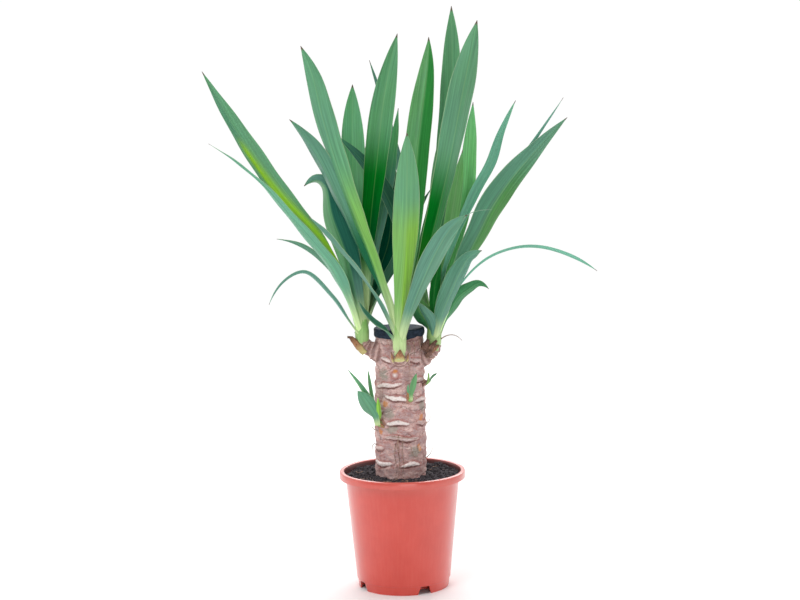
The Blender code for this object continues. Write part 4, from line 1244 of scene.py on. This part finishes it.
def add_branch(bark, name):
    """A ringed side branch that leaves the cane and turns up to the seat of its shoot."""
    start, seat, radius = BRANCHES[name]
    start, seat = Vector(start), Vector(seat)
    knee = Vector((seat.x, seat.y, seat.z - BRANCH_RISE))
    hinge = (knee - start).cross(seat - knee).normalized()
    sides, rings = 48, 44
    points, lips = [], []
    for i in range(rings + 1):
        t = i / rings
        centre = start.lerp(knee, t).lerp(knee.lerp(seat, t), t)
        direction = (knee - start).lerp(seat - knee, t)
        reach = math.hypot(centre.x - CANE_X, centre.y) - CANE_RADIUS + 2
        flare = 2.4 * math.exp(-((max(reach, 0) / 4) ** 2))
        for j, point in enumerate(round_ring(centre, direction, 1.0, sides, hinge)):
            out = point - centre
            rough = fractal(point.x / 3, point.y / 3, point.z / 3, 2)
            phase = 6.5 * t + 0.5 * math.sin(2 * math.pi * j / sides + radius) + 0.25 * rough
            lip = math.exp(-((((phase % 1) - 0.5) / 0.16) ** 2))
            size = radius * (1.05 - 0.1 * t) + flare + 0.8 * (lip - 0.4)
            size = size + 0.45 * rough - 0.5 * ease(8 * t - 7)
            points.append(centre + out * size)
            lips.append(lip * (0.6 + 0.5 * rough))
    faces = tube_faces(rings + 1, sides)
    count = len(points)
    lips = np.clip(lips, 0, 1)
    # The second mark is painted shade in the grooves between the branch's rings
    marks = np.column_stack([0.45 * lips, 0.5 * (1 - lips) ** 4, lips, np.ones(count)])
    tint = np.tile([0.08, 0.0, 0.1, 1.0], (count, 1))
    bark.add([tuple(p) for p in points], faces, marks=marks, tint=tint)


def add_boss(bark, name):
    """The low mound on the cane that a sprout breaks out of."""
    azimuth, z, radius = SPROUT_BUDS[name]
    axis = level(azimuth)
    middle = Vector((CANE_X, 0, z))
    reaches = np.linspace(CANE_RADIUS - 6, BUD_REACH - 0.3, 10)
    sizes = radius * np.interp(reaches, (CANE_RADIUS - 1, BUD_REACH - 0.3), (1.5, 0.75))
    points, faces = tube([axis * reach + middle for reach in reaches], sizes, 22)
    points += np.array([0.5 * fractal(*(p / 2.0), 2) * np.array(axis) for p in points])
    # The second mark puts a little painted crevice shade all over the mound
    marks = np.tile([0.1, 0.25, 0.6, 1.0], (len(points), 1))
    bark.add(points, faces, marks=marks, tint=np.tile([0.5, 0.0, 0.3, 1.0], (len(points), 1)))


def bark_material():
    """Pinkish-beige bark with reddish cracks, torn pale scars, grey-green and orange patches, and painted
    shade in its crevices.
    """
    n = Nodes("bark")
    marks, tint = n.attribute("marks"), n.attribute("tint")
    pale, crevice_shade, red = n.add("SeparateColor", {0: marks.outputs["Color"]}).outputs
    orange, grey, top = n.add("SeparateColor", {0: tint.outputs["Color"]}).outputs
    clouds = n.noise(n.place((0.11, 0.11, 0.16)), 1.0, 5.0, 0.65)
    blush = n.noise(n.place((0.07, 0.07, 0.09)), 1.7, 3.0, 0.6)
    fibres = n.noise(n.place((1.3, 1.3, 0.16)), 1.0, 4.0, 0.7, 0.6)
    flakes = n.noise(n.place((0.5, 0.5, 1.1)), 1.0, 5.0, 0.75, 0.8)
    grain = n.noise(n.place(), 2.4, 3.0, 0.6)
    warp = n.add("TexNoise", {"Vector": n.place((0.5, 0.5, 0.5)), "Scale": 1.0, "Detail": 4.0})
    warp = n.add("VectorMath", {0: warp.outputs["Color"], 1: (-0.5, -0.5, -0.5)}).outputs[0]
    warped = n.add("VectorMath", {0: n.place((0.17, 0.17, 0.34)), 1: warp}).outputs[0]
    crack = n.add("TexVoronoi", {"Vector": warped, "Scale": 1.0}, feature="DISTANCE_TO_EDGE")
    crack = crack.outputs["Distance"]
    colour = n.mix(n.remap(clouds, 0.36, 0.64), BARK_DARK, BARK_LIGHT)
    colour = n.mix(n.remap(blush, 0.45, 0.6, 0.0, 0.55), colour, BARK_MAUVE)
    colour = n.mix(n.remap(fibres, 0.54, 0.74, 0.0, 0.5), colour, BARK_RED)
    colour = n.mix(n.remap(flakes, 0.58, 0.74, 0.0, 0.45), colour, BARK_FLAKE)
    colour = n.mix(n.remap(crack, 0.045, 0.0, 0.0, 0.75), colour, BARK_RED)
    colour = n.mix(n.calc("MULTIPLY", red, n.remap(grain, 0.3, 0.6, 0.2, 0.75)), colour, BARK_RED)
    colour = n.mix(n.calc("MULTIPLY", grey, n.remap(flakes, 0.3, 0.55, 0.3, 0.85)), colour, BARK_GREY)
    colour = n.mix(n.calc("MULTIPLY", orange, n.remap(fibres, 0.3, 0.6, 0.4, 0.95)), colour, BARK_ORANGE)
    colour = n.mix(n.calc("MULTIPLY", top, n.remap(fibres, 0.3, 0.65, 0.5, 0.95)), colour, BARK_TOP)
    torn = n.calc("MULTIPLY", pale, n.remap(fibres, 0.66, 0.45, 0.6, 1.1))
    colour = n.mix(n.calc("MINIMUM", torn, 1.0), colour, BARK_SCAR)
    # Painted shade: near-black in the crevices
    dark = n.calc("MULTIPLY", crevice_shade, n.remap(grain, 0.3, 0.55, 0.45, 0.95))
    colour = n.mix(dark, colour, BARK_CREVICE_SHADE)
    n.set(Base_Color=colour, Roughness=n.remap(clouds, 0.3, 0.7, 0.72, 0.9), Specular_IOR_Level=0.25)
    height = n.calc("ADD", n.calc("MULTIPLY", fibres, 0.4), n.calc("MULTIPLY", flakes, 0.4))
    height = n.calc("ADD", height, n.remap(crack, 0.0, 0.09, 0.0, 0.35))
    n.bump(n.calc("ADD", height, n.calc("MULTIPLY", grain, 0.25)), 0.5)
    return n.material


def make_cane():
    """The cane, its side branches and the mounds under its sprouts."""
    bark = Pieces()
    points, faces, marks, tint = cane_skin()
    bark.add(points, faces, marks=marks, tint=tint)
    for name in BRANCHES:
        add_branch(bark, name)
    for name in SPROUT_BUDS:
        add_boss(bark, name)
    cane = bark.build("bark")
    cane.data.materials.append(bark_material())
    return cane


# Dry leaf bases and torn scraps: path, half widths, curls in degrees, facing, fray, how green the foot is
DRY_SCALES = (
    (((-34, -12, 226), (-38, -13, 229.5), (-43, -12, 235), (-47.5, -9, 241)), (3.6, 5.2, 4.6, 2.6),
     (40, 70, 80, 60), (-0.3, -0.9, -0.45), 2.0, 0.7),
    (((-30, -10, 231), (-38, -10, 236), (-45, -9, 241), (-50, -7, 242)), (2.2, 3.2, 2.6, 1.6),
     (80, 110, 110, 90), (-0.2, -0.6, 0.7), 1.5, -0.3),
    (((-1, -38, 222), (-1, -41, 227), (-0.5, -42.5, 234)),
     (6.2, 4.2, 0.6), (35, 40, 20), (0, -1, 0.1), 0.5, 1.0),
    (((21, -12, 229), (24, -14, 234), (26, -13, 239)),
     (3.4, 3.8, 1.5), (50, 60, 50), (0.1, -1, 0.1), 3.0, -0.5),
    (((26, -12, 226), (29, -13.5, 230), (32, -14, 235)),
     (3.4, 3.8, 2.0), (45, 60, 50), (0.3, -0.9, -0.2), 3.0, -0.4),
    (((29, -10, 226), (33, -12, 229.5), (36, -11, 233)),
     (2.6, 3.0, 1.4), (50, 70, 60), (0.5, -0.8, -0.3), 2.0, -0.2),
    (((24, -11, 222), (27, -13, 225), (28, -14, 229)),
     (3.0, 3.0, 1.2), (45, 50, 40), (0.2, -0.9, -0.3), 3.0, -0.5),
    (((27, -12, 231), (30, -14, 234), (34, -13, 238)),
     (2.2, 2.0, 1.0), (60, 80, 60), (0.1, -1, 0.4), 2.0, -0.4),
    (((32, 4, 224), (36, 6, 229), (38, 7, 234)), (3.5, 4.0, 1.5), (50, 70, 60), (0.8, 0.4, -0.3), 2.5, 0.2),
    (((-32, 6, 228), (-38, 8, 235), (-43, 9, 243)),
     (4.5, 5.0, 1.5), (50, 70, 60), (-0.7, 0.6, -0.2), 2.5, 0.2),
    (((-8, -33, 222), (-8.5, -37, 226), (-8.5, -39, 231)),
     (2.6, 2.2, 0.8), (60, 60, 40), (-0.8, -0.6, 0), 1.5, 0.8),
    (((6.5, -33, 222), (7, -37, 226), (7, -39, 230)),
     (2.6, 2.2, 0.8), (60, 60, 40), (0.8, -0.6, 0), 1.5, 0.8),
    (((7.5, -24, 182), (6.2, -26.5, 188), (6, -27, 195)),
     (1.6, 1.4, 0.4), (50, 50, 30), (-0.3, -1, 0), 0.6, 0.0),
    (((-18, -18, 156), (-20, -21, 160), (-22, -22, 163)),
     (2.4, 2.0, 1.0), (50, 60, 40), (-0.6, -0.8, 0), 1.0, 0.2),
    (((19, -10, 194), (22.5, -11.5, 197), (24, -12, 200)),
     (1.8, 1.6, 0.8), (50, 60, 40), (0.5, -0.9, 0), 1.5, -0.4),
    (((22, -5, 194), (25, -6, 196), (27, -6, 199)),
     (1.6, 1.4, 0.6), (50, 60, 40), (0.6, -0.8, -0.2), 1.5, -0.4),
)
# Loose fibres: points of each, and radius at its start
FIBRES = (
    (((36, -4, 236), (44, -6, 241.5), (51, -8, 242), (58, -9, 237)), 0.6),
    (((22, -10, 221), (31, -12, 221.5), (38, -13, 220.5)), 0.5),
    (((24, -9, 225), (26, -9.6, 224.4), (28, -10, 223)), 0.5),
    (((-22, -10, 152), (-27, -11, 154), (-28.5, -11, 158)), 0.5),
    (((-22, -9, 137), (-27, -10, 139), (-28, -10, 133)), 0.55),
    (((22, -9, 158), (26, -10, 161), (27.5, -10, 166)), 0.45),
    (((22, -11, 125), (27, -12, 130), (29, -12, 136)), 0.5),
    (((-3, -24.6, 150), (-4, -25.6, 138), (-2.5, -25.2, 126), (-3.6, -26, 112), (-6, -28, 108)), 0.5),
    (((1, -24.6, 146), (0, -25.4, 134), (1.5, -25.4, 122), (0.5, -26, 110), (4, -29, 108)), 0.4),
    (((-6, -24.4, 142), (-7, -25.2, 130), (-5, -25.4, 118), (-8, -27, 109)), 0.4),
    (((9, -24, 138), (11, -24.4, 130), (17, -19.6, 126)), 0.35),
    (((-10, -23.6, 149), (2, -25.4, 147.5), (14, -22, 146)), 0.45),
    (((4, -24.6, 224), (8, -24.6, 215), (7, -25, 206)), 0.35),
    (((12, -20.6, 238), (13, -22, 228), (11, -23.4, 219)), 0.5),
    (((17, -17, 240), (18.5, -18, 230), (17, -19.6, 222)), 0.5),
)


def dry_material():
    """Dry leaf base: yellow-green foot, orange-brown middle, dark torn edges; greyer where it is old."""
    n = Nodes("dry_scale")
    along, side, green = n.split(n.attribute("share").outputs["Vector"])
    fibres = n.noise(n.place((1.6, 1.6, 0.3)), 1.0, 4.0, 0.7, 0.5)
    light = n.remap(fibres, 0.35, 0.65)
    colour = n.mix(light, DRY_DARK, DRY_LIGHT)
    colour = n.mix(n.remap(green, 0.0, -0.5), colour, n.mix(light, OLD_DARK, OLD_LIGHT))
    foot = n.calc("MULTIPLY", n.calc("MAXIMUM", green, 0.0), n.remap(along, 0.6, 0.05))
    colour = n.mix(n.calc("MINIMUM", foot, 1.0), colour, DRY_FOOT)
    rim = n.remap(n.calc("ABSOLUTE", side), 0.6, 1.0, 0.0, 0.7)
    dark = n.calc("MAXIMUM", n.remap(along, 0.6, 1.0, 0.0, 0.75), rim)
    colour = n.mix(n.calc("MULTIPLY", dark, n.remap(fibres, 0.3, 0.6, 0.5, 1.0)), colour, DRY_EDGE)
    n.set(Base_Color=colour, Roughness=n.remap(fibres, 0.3, 0.7, 0.6, 0.8), Specular_IOR_Level=0.3)
    n.bump(fibres, 0.4)
    return n.material


def make_scales():
    """The dry leaf bases and scraps, crumpled a little."""
    scales = Pieces()
    for number, (path, halves, curls, facing, fray, green) in enumerate(DRY_SCALES):
        points, faces, along, side = sheet(path, halves, curls, facing, 0.5, fray, number)
        crumple = [field(*(points.T + k), (2.5, 2.5, 4.0), 2) for k in (0, 9, 18)]
        points = points + 0.35 * np.column_stack(crumple)
        scales.add(points, faces, share=np.column_stack([along, side, np.full(len(points), green)]))
    obj = scales.build("dry_scales", 50.0)
    obj.data.materials.append(dry_material())
    return obj


def fibre_material():
    """Brown root thread, paler in stretches."""
    n = Nodes("fibre")
    streaks = n.noise(n.place((0.4, 0.4, 0.4)), 1.0, 3.0, 0.6)
    colour = n.mix(n.remap(streaks, 0.35, 0.65), FIBRE_DARK, FIBRE_LIGHT)
    n.set(Base_Color=colour, Roughness=n.remap(streaks, 0.3, 0.7, 0.7, 0.85))
    n.bump(streaks, 0.2)
    return n.material


def make_fibres():
    """Root threads and torn fibres on the cane, and roots that lie in the soil."""
    random = np.random.default_rng(FIBRE_SEED)
    fibres = Pieces()
    for points, radius in FIBRES:
        line = smooth_path(points, 14)
        fibres.add(*tube(line, np.linspace(radius, 0.3 * radius, len(line)), 6))
    for _ in range(SOIL_FIBRE_COUNT):
        angle = random.uniform(0, 2 * math.pi)
        reach, length = random.uniform(CANE_RADIUS + 1, 44), random.uniform(4, 13)
        heading = angle + random.uniform(-1.3, 1.3)
        line = []
        for step in np.linspace(0, 1, 7):
            x = CANE_X + reach * math.cos(angle) + step * length * math.cos(heading)
            y = reach * math.sin(angle) + step * length * math.sin(heading)
            heading += random.uniform(-0.35, 0.35)
            if math.hypot(x, y) > FIBRE_REACH:
                break
            arch = 0.9 * math.sin(math.pi * step) * random.uniform(0, 1)
            line.append((x, y, soil_height(x, y) + 0.2 + arch))
        if len(line) > 3:
            fibres.add(*tube(smooth_path(line, 12), np.linspace(0.42, 0.2, 13), 5))
    obj = fibres.build("fibres", 60.0)
    obj.data.materials.append(fibre_material())
    return obj


def make_wax():
    """The dipped cap: a little uneven, its lower edge run down in places."""
    inner = CANE_TOP_RADIUS + GAP + 0.2
    outer = inner + WAX_WALL
    under = CANE_TOP_Z + GAP
    top = under + WAX_THICKNESS
    skirt = CANE_TOP_Z - WAX_SKIRT
    profile = [(0.4, top - 0.9)]
    profile += [(r, top - 0.9 + 0.3 * r / outer) for r in np.linspace(3, outer - 5, 8)]
    profile += [(outer - 2.6, top - 0.25), (outer - 1.2, top - 0.1)]
    profile += [(outer - 0.35, top - 0.6), (outer, top - 1.6)]
    profile += [(outer, z) for z in np.linspace(top - 2.6, skirt + 0.6, 6)]
    profile += [(outer - 0.3, skirt), (inner, skirt + 0.2), (inner, under), (0.4, under)]
    points = []
    for i in range(WAX_SIDES):
        angle = 2 * math.pi * i / WAX_SIDES
        c, s = math.cos(angle), math.sin(angle)
        run = 2.2 * fractal(1.6 * c, 1.6 * s, 4.0, 3)
        for r, z in profile:
            low = ease((top - 1.5 - z) / 5)
            lump = 0.25 * fractal(r * c / 4, r * s / 4, z / 4, 2) if z > skirt + 0.3 and r < outer else 0.0
            bulge = 0.25 * fractal(2.5 * c, 2.5 * s, z / 3, 2) if r > inner + 0.5 else 0.0
            height = z + low * run + (lump if z > under + 0.3 else 0.0)
            points.append((CANE_X + (r + bulge) * c, (r + bulge) * s, height))
    rows = len(profile)
    faces = []
    for i in range(WAX_SIDES):
        k = (i + 1) % WAX_SIDES
        faces += [(i * rows + j, i * rows + j + 1, k * rows + j + 1, k * rows + j) for j in range(rows - 1)]
    faces.append(tuple(i * rows for i in range(WAX_SIDES)))
    faces.append(tuple(i * rows + rows - 1 for i in range(WAX_SIDES)))
    wax = make_object("wax_cap", points, faces, smooth_angle=50.0)
    wax.data.materials.append(wax_material())
    return wax


def wax_material():
    """Blue-black wax, dull, with grey specks of dust."""
    n = Nodes("wax")
    clouds = n.noise(n.place((0.15, 0.15, 0.3)), 1.0, 5.0, 0.65)
    grain = n.noise(n.place(), 0.8, 4.0, 0.6)
    colour = n.mix(n.remap(clouds, 0.35, 0.65), WAX_DARK, WAX_LIGHT)
    colour = n.mix(n.remap(grain, 0.66, 0.76, 0.0, 0.5), colour, WAX_SPECK)
    n.set(Base_Color=colour, Roughness=n.remap(clouds, 0.3, 0.7, 0.6, 0.8), Specular_IOR_Level=0.15)
    n.bump(grain, 0.6)
    return n.material


def make_parts():
    """Every piece: its slot, and the node that it takes the place of."""
    leaf = leaf_material("leaf", LEAF_OUTER, LEAF_INNER)
    young = leaf_material("young_leaf", YOUNG_OUTER, YOUNG_INNER)
    return (
        (make_pot(), "pot", "pot"),
        (make_soil(), "soil", "soil"),
        (make_crumbs(), "soil", None),
        (make_cane(), "cane", "cane"),
        (make_scales(), "cane", None),
        (make_fibres(), "cane", None),
        (make_wax(), "wax_seal", "wax_seal"),
        (make_shoot("shoot_left", "leaves_left", leaf), "foliage", "shoot_left"),
        (make_shoot("shoot_front", "leaves_front", young), "foliage_young", "shoot_front"),
        (make_shoot("shoot_right", "leaves_right", leaf), "foliage", "shoot_right"),
        (make_shoot("sprout_left", "sprout_leaves_left", young), "foliage_young", "sprout_left"),
        (make_shoot("sprout_front", "sprout_leaves_front", young), "foliage_young", "sprout_front"),
        (make_shoot("sprout_right", "sprout_leaves_right", young), "foliage_young", "sprout_right"),
    )


make_camera()
make_studio()
for piece, slot, node in make_parts():
    if node:
        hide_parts(node)
    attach(piece, "root")
